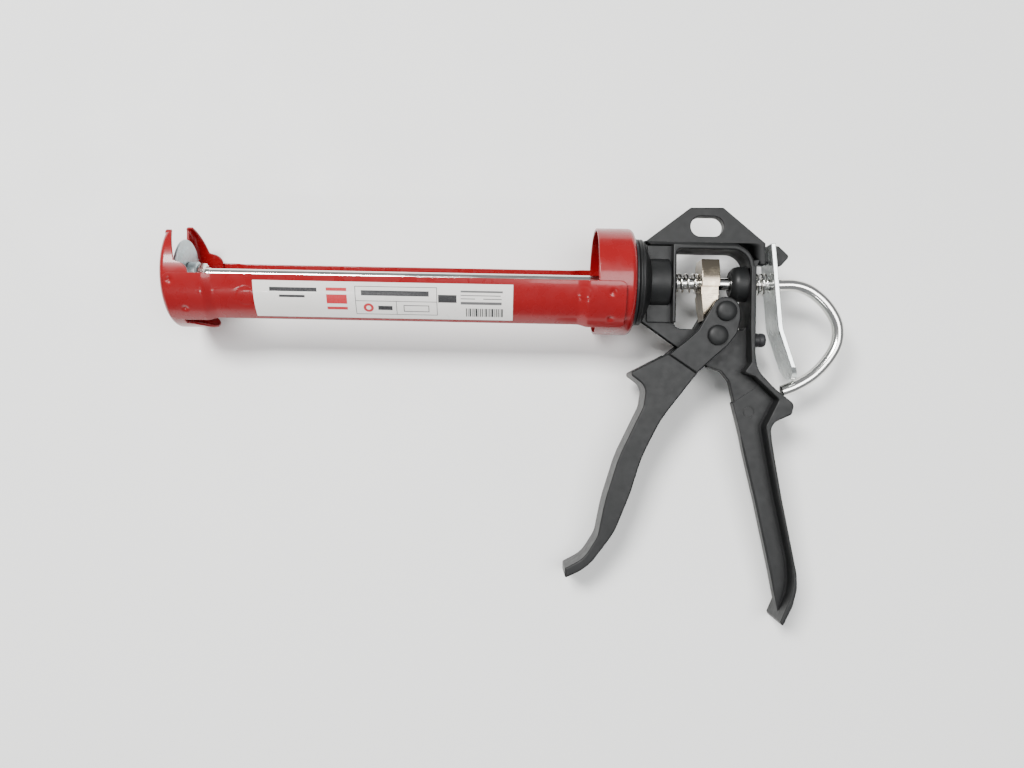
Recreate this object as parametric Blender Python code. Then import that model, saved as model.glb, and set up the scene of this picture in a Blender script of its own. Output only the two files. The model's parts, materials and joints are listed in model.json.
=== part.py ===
"""Caulking gun: a swivelling two-rail cradle, a push rod with a piston, a cast frame and a squeeze trigger.

The outlines are in millimetres in the gun's own frame: x runs along the barrel from the nozzle end to the
rod's hook, with 0 on the rear cup's back face, y points to the hang plate, and z is the width direction.
"""

import math

import bmesh
import bpy
from mathutils import Matrix, Vector

MM = 0.001
GAP = 0.3

# The cradle
CUP_R = 27.2
SHEET = 1.2
CRADLE_LENGTH = 232.9
FRONT_WALL = 14.3
REAR_WALL = 19.0
CUP_CORNER = 3.0
RAIL_R = 27.2
JOGGLE_R = 28.7
RAIL_START = -230.2
RAIL_END = -5.3
RAIL_EDGE_DEG = 82.8
RAIL_SPAN_DEG = 53.8
RAIL_CORNER = 3.2
CRADLE_ROLL_DEG = 13.4
EAR_DEG = 31.0
EAR_END_DEG = 71.0
EAR_TIP = 3.4
EAR_ROOT = 7.7
LOBE_DEG = 82.0
WALL_END_DEG = 130.0
LOW_WALL_DEG = 136.0
LOW_WALL = 7.9
TAB_HALF_DEG = 30.0
TAB_LENGTH = 11.5
SWIVEL_R = 9.0
SWIVEL_NUT_R = 16.0
SWIVEL_NUT_THICK = 5.0
SLOT_R = 9.6
SLOT_FLARE = 4.6

# The label on the near rail
LABEL_START = -187.0
LABEL_END = -60.5
LABEL_THICK = 0.15
LABEL_LIFT = 0.1
LABEL_EDGES_DEG = (89.0, 131.0)

# The push rod and its piston
ROD_R = 3.15
ROD_START = -231.6
BORE_R = 3.55
PISTON_R = 17.5
PISTON_BACK = -227.3
HOOK_POINTS = (
    (84.5, 0.0),
    (92.5, -2.6),
    (100.3, -8.9),
    (105.6, -16.9),
    (107.1, -24.1),
    (105.9, -31.1),
    (101.5, -38.6),
    (94.3, -46.2),
    (85.2, -51.9),
    (78.1, -54.8),
)
HOOK_START = 76.0

# The casting
WEB_HALF = 3.0
FLANGE_HALF = 12.0
RING_HALF = 9.6
BLOCK_HALF = 3.9
DISC_R = 22.0
BOSS_R = 12.5
BOSS_END = 19.4
SLEEVE_R = 9.0
SLEEVE_START = 50.6
REAR_WALL_X = 58.9
WINDOW_TOP = 16.4
WINDOW_BOTTOM = -23.6
WINDOW_FRONT = 21.8

# The trigger and its pins
PIVOT = (42.4, -27.2)
DRIVE_PIN = (46.6, -15.0)
TRIGGER_HALF = 10.6
CHEEK_HALF = 12.0
CHEEK_GAP = 8.7
PIVOT_R = 2.6
DRIVE_PIN_R = 3.2
RIVET_HEAD_R = 5.1
RIVET_HEAD_HIGH = 2.6

# The grip block, its spring, the release lever and its spring
BLOCK_FRONT = 34.8
BLOCK_THICK = 9.2
BLOCK_HIGH = 11.8
BLOCK_CROWN_R = 26.0
BLOCK_DEEP = 9.4
TONGUE_HALF = 8.2
TONGUE_END = -19.4
GROOVE_TOP = -2.0
GROOVE_BOTTOM = -6.2
GROOVE_DEEP = 1.8
SPRING_SEAT = 22.2
DRIVE_SPRING_R = 4.7
DRIVE_WIRE_R = 0.6
RELEASE_SPRING_R = 5.4
RELEASE_WIRE_R = 0.55
LEVER_HALF = 10.5
LEVER_THICK = 2.3
LEVER_TOP = (69.0, 19.9)
LEVER_TILT_DEG = 5.5
LEVER_PIVOT_Y = 17.3
LEVER_HOLE_R = 4.1
BUMPER_Y = -28.6
BUMPER_R = 3.6

ARC_STEP_DEG = 15.0
ROUND_STEPS = 32

# The rest: the gun lies on its side on the cups and the handle's tip
REST_TILT_DEG = 5.57


def clear_scene():
    for obj in list(bpy.data.objects):
        bpy.data.objects.remove(obj, do_unlink=True)


def material(name, colour, roughness, metallic):
    made = bpy.data.materials.new(name)
    made.use_nodes = True
    shader = made.node_tree.nodes["Principled BSDF"]
    shader.inputs["Base Color"].default_value = (*colour, 1.0)
    shader.inputs["Roughness"].default_value = roughness
    shader.inputs["Metallic"].default_value = metallic
    return made


def finish(name, bm, rest, finish_values):
    """The mesh as a named object on the rest frame, with its own material."""
    bmesh.ops.remove_doubles(bm, verts=bm.verts, dist=1e-6)
    bmesh.ops.recalc_face_normals(bm, faces=bm.faces)
    mesh = bpy.data.meshes.new(name)
    bm.to_mesh(mesh)
    bm.free()
    obj = bpy.data.objects.new(name, mesh)
    bpy.context.scene.collection.objects.link(obj)
    obj.parent = rest
    if finish_values is None:
        obj.hide_render = True
        obj.display_type = "WIRE"
    else:
        mesh.materials.append(material(name, *finish_values))
    return obj


def move_origin(obj, point):
    """Puts the object's origin on a point of the gun's frame without moving its shape."""
    shift = Vector(point) * MM
    obj.data.transform(Matrix.Translation(-shift))
    obj.location = shift


def shade_round(obj, angle_deg=30.0):
    for face in obj.data.polygons:
        face.use_smooth = True
    obj.data.set_sharp_from_angle(angle=math.radians(angle_deg))


def boolean(obj, other, operation):
    made = obj.modifiers.new(operation.lower(), "BOOLEAN")
    made.operation = operation
    made.solver = "EXACT"
    made.object = other


# ---------------------------------------------------------------- shapes
def arc(centre, radius, start_deg, end_deg, steps):
    points = []
    for i in range(steps + 1):
        angle = math.radians(start_deg + (end_deg - start_deg) * i / steps)
        points.append((centre[0] + radius * math.cos(angle), centre[1] + radius * math.sin(angle)))
    return points


def rounded(corners, step_deg=ARC_STEP_DEG):
    """A closed outline from corners (x, y) or (x, y, radius), each radius replaced with an arc."""
    outline = []
    count = len(corners)
    for i, corner in enumerate(corners):
        here = Vector(corner[:2])
        radius = corner[2] if len(corner) > 2 else 0.0
        if radius <= 0.0:
            outline.append(tuple(here))
            continue
        before = (Vector(corners[i - 1][:2]) - here).normalized()
        after = (Vector(corners[(i + 1) % count][:2]) - here).normalized()
        half = before.angle(after) / 2.0
        centre = here + (before + after).normalized() * (radius / math.sin(half))
        reach = radius / math.tan(half)
        first = here + before * reach - centre
        last = here + after * reach - centre
        turn = math.atan2(first.x * last.y - first.y * last.x, first.dot(last))
        steps = max(1, round(abs(math.degrees(turn)) / step_deg))
        for k in range(steps + 1):
            angle = turn * k / steps
            spun = Matrix.Rotation(angle, 2) @ first
            outline.append(tuple(centre + spun))
    return outline


def prism(outline, low, high, axis="z"):
    """A solid with this outline between two planes square to the axis."""
    bm = bmesh.new()

    def place(point, height):
        if axis == "x":
            return Vector((height, point[0], point[1])) * MM
        if axis == "y":
            return Vector((point[0], height, point[1])) * MM
        return Vector((point[0], point[1], height)) * MM

    bottom = [bm.verts.new(place(p, low)) for p in outline]
    top = [bm.verts.new(place(p, high)) for p in outline]
    count = len(outline)
    for i in range(count):
        j = (i + 1) % count
        bm.faces.new((bottom[i], bottom[j], top[j], top[i]))
    bm.faces.new(bottom)
    bm.faces.new(top)
    return bm


def lathe(profile, steps=ROUND_STEPS, centre=(0.0, 0.0), axis="x"):
    """A closed profile of (along, radius) turned round an axis; a radius of 0 closes on the axis."""
    bm = bmesh.new()

    def place(along, radius, angle):
        a = radius * math.cos(angle)
        b = radius * math.sin(angle)
        if axis == "x":
            return Vector((along, centre[0] + a, centre[1] + b)) * MM
        return Vector((centre[0] + a, centre[1] + b, along)) * MM

    rings = []
    for along, radius in profile:
        if radius <= 0.0:
            rings.append([bm.verts.new(place(along, 0.0, 0.0))])
            continue
        ring = []
        for k in range(steps):
            ring.append(bm.verts.new(place(along, radius, 2.0 * math.pi * k / steps)))
        rings.append(ring)
    for i, ring in enumerate(rings):
        other = rings[(i + 1) % len(rings)]
        if len(ring) == 1 and len(other) == 1:
            continue
        for k in range(steps):
            n = (k + 1) % steps
            if len(ring) == 1:
                bm.faces.new((ring[0], other[k], other[n]))
            elif len(other) == 1:
                bm.faces.new((ring[k], ring[n], other[0]))
            else:
                bm.faces.new((ring[k], ring[n], other[n], other[k]))
    return bm


def tube(path, radius, sides):
    """A round bar along a path of points in millimetres, with flat ends."""
    bm = bmesh.new()
    points = [Vector(p) * MM for p in path]
    normal = None
    rings = []
    for i, point in enumerate(points):
        ahead = points[min(i + 1, len(points) - 1)] - points[max(i - 1, 0)]
        ahead.normalize()
        if normal is None:
            normal = ahead.orthogonal().normalized()
        else:
            normal = (normal - ahead * normal.dot(ahead)).normalized()
        side = ahead.cross(normal)
        ring = []
        for k in range(sides):
            angle = 2.0 * math.pi * k / sides
            offset = (normal * math.cos(angle) + side * math.sin(angle)) * (radius * MM)
            ring.append(bm.verts.new(point + offset))
        rings.append(ring)
    for first, second in zip(rings, rings[1:]):
        for k in range(sides):
            n = (k + 1) % sides
            bm.faces.new((first[k], first[n], second[n], second[k]))
    bm.faces.new(rings[0])
    bm.faces.new(rings[-1])
    return bm


def loft(sections):
    """Closed sections of equal point count joined in order, with the two ends capped."""
    bm = bmesh.new()
    rings = []
    for section in sections:
        rings.append([bm.verts.new(Vector(p) * MM) for p in section])
    count = len(rings[0])
    for first, second in zip(rings, rings[1:]):
        for k in range(count):
            n = (k + 1) % count
            bm.faces.new((first[k], first[n], second[n], second[k]))
    bm.faces.new(rings[0])
    bm.faces.new(rings[-1])
    return bm


def hexagon(radius):
    return arc((0.0, 0.0), radius, 0.0, 300.0, 5)


def bar(low, high, radius):
    """Profile of a plain round bar between two stations of its axis."""
    return [(low, 0.0), (low, radius), (high, radius), (high, 0.0)]


def around(x, radius, angle_deg):
    """A point of the cradle: the angle runs from the middle of its opening towards the +z rail."""
    angle = math.radians(angle_deg + CRADLE_ROLL_DEG)
    return (x, radius * math.cos(angle), radius * math.sin(angle))


def coil(start, end, radius, wire, turns, closed_turns=0.75):
    """A compression spring's path along x, its first and last turns closed up."""
    path = []
    per_turn = 14
    whole = turns + 2.0 * closed_turns
    count = int(whole * per_turn)
    pitch_closed = 2.15 * wire
    open_length = (end - start) - 2.0 * wire - 2.0 * closed_turns * pitch_closed
    for i in range(count + 1):
        turn = whole * i / count
        if turn < closed_turns:
            x = turn * pitch_closed
        elif turn < closed_turns + turns:
            x = closed_turns * pitch_closed + (turn - closed_turns) * open_length / turns
        else:
            x = closed_turns * pitch_closed + open_length + (turn - closed_turns - turns) * pitch_closed
        angle = 2.0 * math.pi * turn
        path.append((start + wire + x, radius * math.cos(angle), radius * math.sin(angle)))
    return path


# ---------------------------------------------------------------- cradle
RED = ((0.46, 0.022, 0.03), 0.28, 0.0)
BLACK = ((0.03, 0.033, 0.035), 0.45, 0.0)
CHROME = ((0.78, 0.78, 0.76), 0.12, 1.0)
ZINC = ((0.42, 0.46, 0.47), 0.4, 0.8)
BRASS = ((0.58, 0.49, 0.33), 0.3, 1.0)
WHITE = ((0.85, 0.84, 0.82), 0.5, 0.0)
RUBBER = ((0.015, 0.015, 0.017), 0.7, 0.0)


def wall_depth(angle_deg):
    """How far back the front cup's wall reaches at an angle from the middle of the opening."""
    angle = abs(angle_deg)
    if angle < EAR_END_DEG:
        return EAR_TIP + (EAR_ROOT - EAR_TIP) * (angle - EAR_DEG) / (EAR_END_DEG - EAR_DEG)
    if angle < LOBE_DEG:
        short = (LOBE_DEG - angle) / (LOBE_DEG - EAR_END_DEG)
        return EAR_ROOT + (FRONT_WALL - EAR_ROOT) * math.sqrt(1.0 - short**2)
    if angle < WALL_END_DEG:
        return FRONT_WALL
    if angle < LOW_WALL_DEG:
        return FRONT_WALL - (FRONT_WALL - LOW_WALL) * (angle - WALL_END_DEG) / (LOW_WALL_DEG - WALL_END_DEG)
    off = (180.0 - angle) / TAB_HALF_DEG
    return LOW_WALL + TAB_LENGTH * math.sqrt(max(0.0, 1.0 - off**2))


def slot_radius(angle_deg):
    """Radius at which the front plate's nozzle slot ends, at an angle from the middle of the opening."""
    angle = math.radians(abs(angle_deg))
    radius = SLOT_R
    if angle < math.pi / 2.0:
        for _ in range(12):
            half = SLOT_R + SLOT_FLARE * min(1.0, radius * math.cos(angle) / 22.0)
            radius = half / math.sin(angle)
    return min(radius, CUP_R - 1.5)


def front_cup_section(angle_deg):
    """Cross-section of the front cup's plate and wall at one angle."""
    face = -CRADLE_LENGTH
    inner = slot_radius(angle_deg)
    depth = wall_depth(angle_deg)
    corner = min(CUP_CORNER, depth - 0.2, CUP_R - inner - 0.2)
    corner = max(corner, 0.3)
    steps = 4
    outer = []
    inside = []
    for k in range(steps + 1):
        turn = math.radians(90.0 * k / steps)
        outer.append((face + corner * (1.0 - math.sin(turn)), CUP_R - corner * (1.0 - math.cos(turn))))
    outer.reverse()
    inner_corner = max(corner - SHEET, 0.1)
    for k in range(steps + 1):
        turn = math.radians(90.0 * k / steps)
        inside.append(
            (
                face + SHEET + inner_corner * (1.0 - math.cos(turn)),
                CUP_R - SHEET - inner_corner * (1.0 - math.sin(turn)),
            )
        )
    section = [(face, inner)]
    section += outer
    section.append((face + depth, CUP_R))
    section.append((face + max(depth, corner + 0.2), CUP_R - SHEET))
    section += list(reversed(inside))
    section.append((face + SHEET, inner))
    return [around(x, r, angle_deg) for x, r in section]


def make_front_cup(rest):
    angles = [EAR_DEG + (360.0 - 2.0 * EAR_DEG) * i / 84 for i in range(85)]
    sections = [front_cup_section(a if a <= 180.0 else a - 360.0) for a in angles]
    shade_round(finish("front_cup", loft(sections), rest, RED))


def make_rear_cup(rest):
    corner = arc((-CUP_CORNER, CUP_R - CUP_CORNER), CUP_CORNER, 0.0, 90.0, 4)
    inner = CUP_CORNER - SHEET
    inner_corner = arc((-CUP_CORNER, CUP_R - CUP_CORNER), inner, 90.0, 0.0, 3)
    profile = [(0.0, SWIVEL_R + GAP)] + corner
    profile += [(-REAR_WALL, CUP_R), (-REAR_WALL, CUP_R - SHEET)] + inner_corner
    profile.append((-SHEET, SWIVEL_R + GAP))
    shade_round(finish("rear_cup", lathe(profile, 64), rest, RED))


def rail_radius(x):
    """Outer radius of a rail: it steps out over each cup's wall."""
    front = min(1.0, max(0.0, (-206.5 - x) / 6.0))
    back = min(1.0, max(0.0, (x + 29.0) / 6.0))
    step = max(front, back)
    smooth = step * step * (3.0 - 2.0 * step)
    return RAIL_R + (JOGGLE_R - RAIL_R) * smooth


def rail_stations():
    front = [RAIL_START, RAIL_START + 0.5, RAIL_START + 1.4, RAIL_START + RAIL_CORNER]
    joggle = [-212.5, -211.0, -209.5, -208.0, -206.5]
    back_joggle = [-29.0, -27.5, -26.0, -24.5, -23.0]
    end = [RAIL_END - RAIL_CORNER, RAIL_END - 1.4, RAIL_END - 0.5, RAIL_END]
    return front + joggle + back_joggle + end


def corner_inset(x):
    """How far the rail's edges stand in at x, in millimetres of arc, for its rounded corners."""
    near = min(x - RAIL_START, RAIL_END - x)
    if near >= RAIL_CORNER:
        return 0.0
    return RAIL_CORNER - math.sqrt(RAIL_CORNER**2 - (RAIL_CORNER - near) ** 2)


def make_rail(rest, name, side):
    sections = []
    steps = 10
    for x in rail_stations():
        outer = rail_radius(x)
        inset = math.degrees(corner_inset(x) / outer)
        low = RAIL_EDGE_DEG + inset
        high = RAIL_EDGE_DEG + RAIL_SPAN_DEG - inset
        angles = [low + (high - low) * k / steps for k in range(steps + 1)]
        section = [around(x, outer, side * a) for a in angles]
        section += [around(x, outer - SHEET, side * a) for a in reversed(angles)]
        sections.append(section)
    shade_round(finish(name, loft(sections), rest, RED))


def make_label(rest):
    steps = 8
    sections = []
    for x in (LABEL_START, LABEL_END):
        low, high = LABEL_EDGES_DEG
        angles = [low + (high - low) * k / steps for k in range(steps + 1)]
        inner = RAIL_R + LABEL_LIFT
        section = [around(x, inner + LABEL_THICK, a) for a in angles]
        section += [around(x, inner, a) for a in reversed(angles)]
        sections.append(section)
    shade_round(finish("label", loft(sections), rest, WHITE))


def make_swivel(rest):
    washer = [(GAP, SWIVEL_R + GAP), (GAP, DISC_R + 0.4), (1.6, DISC_R + 0.4), (1.6, SWIVEL_R + GAP)]
    shade_round(finish("swivel_washer", lathe(washer, 48), rest, RUBBER))
    seat = -SHEET - GAP
    nut = finish("swivel_nut", prism(hexagon(SWIVEL_NUT_R), seat - SWIVEL_NUT_THICK, seat, "x"), rest, ZINC)
    bore = finish("cut_swivel_nut", lathe(bar(-12.0, 4.0, SWIVEL_R + GAP)), rest, None)
    boolean(nut, bore, "DIFFERENCE")


# ---------------------------------------------------------------- casting
WEB_OUTLINE = (
    (4.4, 20.6, 0.6),
    (7.5, 21.5, 0.8),
    (29.8, 38.8, 2.0),
    (46.6, 39.1, 2.0),
    (68.5, 21.1, 0.8),
    (68.6, 9.9, 0.8),
    (60.8, 9.7),
    (59.5, -38.3),
    (62.2, -45.8),
    (74.8, -58.4),
    (68.4, -70.8),
    (68.3, -74.3),
    (72.4, -93.1),
    (79.2, -128.0),
    (82.5, -144.6),
    (82.8, -152.1),
    (80.2, -161.4),
    (77.3, -168.0),
    (73.1, -147.7),
    (64.8, -111.1),
    (58.7, -86.5),
    (53.6, -62.0),
    (50.9, -50.2, 4.0),
    (46.7, -45.0, 3.0),
    (39.3, -42.9, 6.0),
    (23.4, -33.1, 3.0),
    (3.7, -19.4, 1.5),
)

FLANGE_OUTLINE = (
    (56.0, 8.0),
    (56.0, -18.0),
    (REAR_WALL_X, -24.4),
    (59.6, -40.6, 1.5),
    (56.0, -45.7, 1.0),
    (61.5, -47.7, 2.0),
    (73.7, -58.9, 1.5),
    (67.1, -72.7, 4.0),
    (69.1, -84.0, 30.0),
    (74.1, -108.7),
    (78.1, -126.4),
    (81.3, -141.0, 30.0),
    (82.0, -150.8, 15.0),
    (80.7, -157.8, 15.0),
    (75.7, -169.9, 0.4),
    (77.0, -172.3, 0.6),
    (81.9, -162.1, 12.0),
    (84.1, -153.1, 15.0),
    (83.7, -145.6, 15.0),
    (75.8, -108.7),
    (70.7, -81.5, 30.0),
    (69.5, -71.3, 6.0),
    (80.3, -66.3, 2.6),
    (81.3, -60.9, 3.0),
    (71.3, -53.2, 20.0),
    (62.6, -44.1, 12.0),
    (61.5, -35.2, 8.0),
    (61.6, 8.0),
)

RIM_OUTLINE = (
    (20.0, -20.8),
    (20.0, 18.8),
    (61.3, 18.8, 11.2),
    (61.3, 4.0),
    (50.0, 4.0),
    (50.0, 12.0),
    (26.0, 12.0),
    (26.0, -20.8),
)

BLOCK_OUTLINE = (
    (7.6, -20.8, 1.0),
    (30.0, -20.8),
    (30.0, 18.8),
    (7.6, 18.8, 1.0),
)

WINDOW_OUTLINE = (
    (WINDOW_FRONT, WINDOW_BOTTOM, 4.0),
    (REAR_WALL_X, WINDOW_BOTTOM, 2.5),
    (REAR_WALL_X, WINDOW_TOP, 8.8),
    (WINDOW_FRONT, WINDOW_TOP, 2.5),
)

NOSE_OUTLINE = (
    (65.0, 16.4),
    (73.0, 16.4, 0.6),
    (73.6, 20.1, 0.7),
    (75.5, 19.7, 1.2),
    (81.0, 14.6, 1.6),
    (76.6, 9.6, 1.3),
    (74.3, 9.3, 0.7),
    (73.7, 11.2, 0.6),
    (65.0, 11.2),
)


def hub_profile():
    """The disc behind the cradle, the cone and the front boss."""
    hub = [(1.9, 0.0), (1.9, DISC_R - 0.6), (2.5, DISC_R), (4.4, DISC_R), (5.1, DISC_R - 0.7)]
    hub += [(8.2, BOSS_R + 2.0), (8.8, BOSS_R), (BOSS_END - 0.8, BOSS_R), (BOSS_END, BOSS_R - 0.8)]
    return hub + [(BOSS_END, 0.0)]


def spigot_profile():
    return [(-8.5, 0.0), (-8.5, SWIVEL_R - 0.5), (-8.0, SWIVEL_R), (3.0, SWIVEL_R), (3.0, 0.0)]


def sleeve_profile():
    profile = [(SLEEVE_START, 0.0), (SLEEVE_START, SLEEVE_R - 2.6), (SLEEVE_START + 0.8, SLEEVE_R - 1.0)]
    return profile + [(SLEEVE_START + 2.4, SLEEVE_R), (60.2, SLEEVE_R), (60.2, 0.0)]


def make_casting(rest):
    """The frame, hang plate and rear handle, which are one casting."""
    casting = finish("body_frame", prism(rounded(WEB_OUTLINE), -WEB_HALF, WEB_HALF), rest, BLACK)
    slot = arc((41.7, 29.2), 5.2, -90.0, 90.0, 10) + arc((35.1, 29.2), 5.2, 90.0, 270.0, 10)
    steps = (
        ("flange", "UNION", prism(rounded(FLANGE_OUTLINE), -FLANGE_HALF, FLANGE_HALF)),
        ("rim", "UNION", prism(rounded(RIM_OUTLINE), -RING_HALF, RING_HALF)),
        ("block", "UNION", prism(rounded(BLOCK_OUTLINE), -BLOCK_HALF, BLOCK_HALF)),
        ("window", "DIFFERENCE", prism(rounded(WINDOW_OUTLINE), -30.0, 30.0)),
        ("hub", "UNION", lathe(hub_profile(), 40)),
        ("spigot", "UNION", lathe(spigot_profile())),
        ("sleeve", "UNION", lathe(sleeve_profile())),
        ("pivot_boss", "UNION", lathe(bar(-8.3, 8.3, 6.0), 24, PIVOT, "z")),
        ("nose", "UNION", prism(rounded(NOSE_OUTLINE), -2.6, 2.6)),
        ("hang_slot", "DIFFERENCE", prism(slot, -9.0, 9.0)),
        ("bore", "DIFFERENCE", lathe(bar(-20.0, 66.0, BORE_R), 24)),
        ("pivot_hole", "DIFFERENCE", lathe(bar(-20.0, 20.0, PIVOT_R + GAP), 24, PIVOT, "z")),
    )
    for name, operation, bm in steps:
        boolean(casting, finish(f"casting_{name}", bm, rest, None), operation)
    shade_round(casting)


def rivet(name, centre, radius, rest):
    """A headed pin across the trigger's cheeks."""
    seat = CHEEK_HALF + GAP
    head = []
    for k in range(5):
        turn = math.radians(90.0 * k / 4)
        along = seat + 0.6 + (RIVET_HEAD_HIGH - 0.6) * math.sin(turn)
        head.append((along, RIVET_HEAD_R * math.cos(turn)))
    head[-1] = (head[-1][0], 0.0)
    profile = [(-along, r) for along, r in reversed(head)]
    profile += [(-seat, RIVET_HEAD_R), (-seat, radius), (seat, radius), (seat, RIVET_HEAD_R)] + head
    obj = finish(name, lathe(profile, 24, centre, "z"), rest, BLACK)
    shade_round(obj)
    move_origin(obj, (*PIVOT, 0.0))


def make_bumper(rest):
    profile = [(62.9, 0.0), (62.9, BUMPER_R), (68.0, BUMPER_R), (69.2, BUMPER_R - 0.5)]
    profile += [(69.7, BUMPER_R - 1.8), (69.7, 0.0)]
    obj = finish("bumper", lathe(profile, 24, (BUMPER_Y, 0.0)), rest, RUBBER)
    shade_round(obj)


# ---------------------------------------------------------------- trigger
GRIP_OUTLINE = (
    (32.8, -46.6),
    (18.1, -36.8),
    (12.7, -39.6),
    (-1.7, -47.2, 1.6),
    (7.3, -53.7, 7.0),
    (6.0, -63.7, 12.0),
    (-6.0, -89.3, 40.0),
    (-12.8, -112.2, 60.0),
    (-15.9, -129.3, 14.0),
    (-22.6, -140.3, 16.0),
    (-32.0, -145.4, 0.8),
    (-32.0, -150.5, 0.8),
    (-20.6, -145.0, 25.0),
    (-7.6, -127.4, 30.0),
    (-0.1, -108.4, 40.0),
    (5.7, -89.1, 60.0),
    (14.9, -70.2, 60.0),
)


def cheek_outline():
    top = arc(DRIVE_PIN, 7.2, 160.0, 5.0, 9)
    back = [(53.9, -18.4), (52.4, -26.0), (47.5, -32.4), (40.7, -38.4), (32.4, -46.5)]
    front = [(18.5, -37.4), (21.5, -34.7), (26.6, -30.6), (32.9, -24.8), (35.0, -20.8)]
    return front + top + back


def make_trigger(rest):
    obj = finish("trigger", prism(rounded(GRIP_OUTLINE), -TRIGGER_HALF, TRIGGER_HALF), rest, BLACK)
    cheeks = finish("add_cheeks", prism(cheek_outline(), -CHEEK_HALF, CHEEK_HALF), rest, None)
    boolean(obj, cheeks, "UNION")
    # The channel is open at the back and between the cheeks.
    hollow = (
        (21.8, -21.1),
        (14.0, -42.0, 3.0),
        (7.4, -47.0, 3.0),
        (10.8, -56.8, 8.0),
        (8.1, -66.7, 12.0),
        (-2.7, -89.3, 40.0),
        (-9.7, -112.2, 60.0),
        (-13.0, -129.3, 12.0),
        (-20.3, -141.6, 6.0),
        (27.0, -147.3),
        (68.4, -60.8),
        (70.7, 9.3),
        (22.4, 9.3),
    )
    channel = finish("cut_channel", prism(rounded(hollow), -CHEEK_GAP, CHEEK_GAP), rest, None)
    boolean(obj, channel, "DIFFERENCE")
    for name, centre, radius in (("cut_pivot", PIVOT, PIVOT_R), ("cut_pin", DRIVE_PIN, DRIVE_PIN_R)):
        hole = lathe(bar(-20.0, 20.0, radius + GAP), 24, centre, "z")
        boolean(obj, finish(name, hole, rest, None), "DIFFERENCE")
    shade_round(obj)
    move_origin(obj, (*PIVOT, 0.0))


# ---------------------------------------------------------------- grip block, springs, lever
def crowned_side(steps):
    """One side of the grip block's end view, top first: a crowned face, the groove and the tongue."""
    top_deg = math.degrees(math.asin(BLOCK_HIGH / BLOCK_CROWN_R))
    low_deg = math.degrees(math.asin(GROOVE_TOP / BLOCK_CROWN_R))
    crown = arc((0.0, BLOCK_DEEP - BLOCK_CROWN_R), BLOCK_CROWN_R, 90.0 - top_deg, 90.0 - low_deg, steps)
    floor = TONGUE_HALF - GROOVE_DEEP
    side = crown + [(GROOVE_TOP, floor), (GROOVE_BOTTOM, floor), (GROOVE_BOTTOM, TONGUE_HALF)]
    return side + [(-12.0, TONGUE_HALF), (TONGUE_END, TONGUE_HALF - 2.0)]


def make_block(rest):
    side = crowned_side(8)
    outline = [(y, -z) for y, z in side] + list(reversed(side))
    obj = finish("grip_block", prism(outline, BLOCK_FRONT, BLOCK_FRONT + BLOCK_THICK, "x"), rest, BRASS)
    bore = lathe(bar(20.0, 60.0, BORE_R + 0.1), 24)
    boolean(obj, finish("cut_block", bore, rest, None), "DIFFERENCE")
    back = DRIVE_PIN[0] - DRIVE_PIN_R - 0.35
    taper = ((30.0, -6.2), (BLOCK_FRONT + 0.01, -6.2), (BLOCK_FRONT + 1.8, -20.5), (30.0, -20.5))
    boolean(obj, finish("cut_taper", prism(taper, -20.0, 20.0), rest, None), "DIFFERENCE")
    rear = ((back, -6.2, 1.0), (back, -25.0), (60.0, -25.0), (60.0, -6.2))
    boolean(obj, finish("cut_tongue", prism(rounded(rear), -20.0, 20.0), rest, None), "DIFFERENCE")
    shade_round(obj)
    return obj


def make_springs(rest):
    drive = coil(SPRING_SEAT, BLOCK_FRONT - GAP, DRIVE_SPRING_R, DRIVE_WIRE_R, 2.6)
    shade_round(finish("drive_spring", tube(drive, DRIVE_WIRE_R, 10), rest, CHROME))
    release = coil(61.9, 69.6, RELEASE_SPRING_R, RELEASE_WIRE_R, 1.8)
    shade_round(finish("release_spring", tube(release, RELEASE_WIRE_R, 10), rest, CHROME))


def lever_front(y):
    """x of the lever's front face at height y, on its straight upper part."""
    return LEVER_TOP[0] + (LEVER_TOP[1] - y) * math.tan(math.radians(LEVER_TILT_DEG))


def make_lever(rest):
    bend = (lever_front(-23.0), -23.0)
    end = (82.1, -48.8)
    thick = LEVER_THICK
    side = (
        (LEVER_TOP[0], LEVER_TOP[1], 0.5),
        (bend[0], bend[1], 18.0),
        (end[0], end[1], 0.6),
        (end[0] + thick * 0.96, end[1] + thick * 0.3, 0.6),
        (bend[0] + thick + 0.2, bend[1], 20.0),
        (LEVER_TOP[0] + thick, LEVER_TOP[1], 0.5),
    )
    obj = finish("release_lever", prism(rounded(side, 6.0), -LEVER_HALF, LEVER_HALF), rest, CHROME)
    hole = lathe(bar(60.0, 80.0, LEVER_HOLE_R), 24)
    boolean(obj, finish("cut_lever_bore", hole, rest, None), "DIFFERENCE")
    slot = ((10.3, -3.3, 0.8), (LEVER_PIVOT_Y, -3.3, 0.8), (LEVER_PIVOT_Y, 3.3, 0.8), (10.3, 3.3, 0.8))
    boolean(obj, finish("cut_lever_slot", prism(rounded(slot), 60.0, 80.0, "x"), rest, None), "DIFFERENCE")
    tip = [(-70.0, -30.0), (-43.0, -30.0), (-43.0, -LEVER_HALF - 1.0)]
    for degrees in range(-90, 91, 15):
        angle = math.radians(degrees)
        tip.append((-40.7 - 8.2 * math.cos(angle), 1.02 * LEVER_HALF * math.sin(angle)))
    tip += [(-43.0, LEVER_HALF + 1.0), (-43.0, 30.0), (-70.0, 30.0)]
    boolean(obj, finish("cut_lever_tip", prism(tip, 60.0, 100.0, "x"), rest, None), "DIFFERENCE")
    shade_round(obj)
    move_origin(obj, (lever_front(LEVER_PIVOT_Y), LEVER_PIVOT_Y, 0.0))


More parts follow.
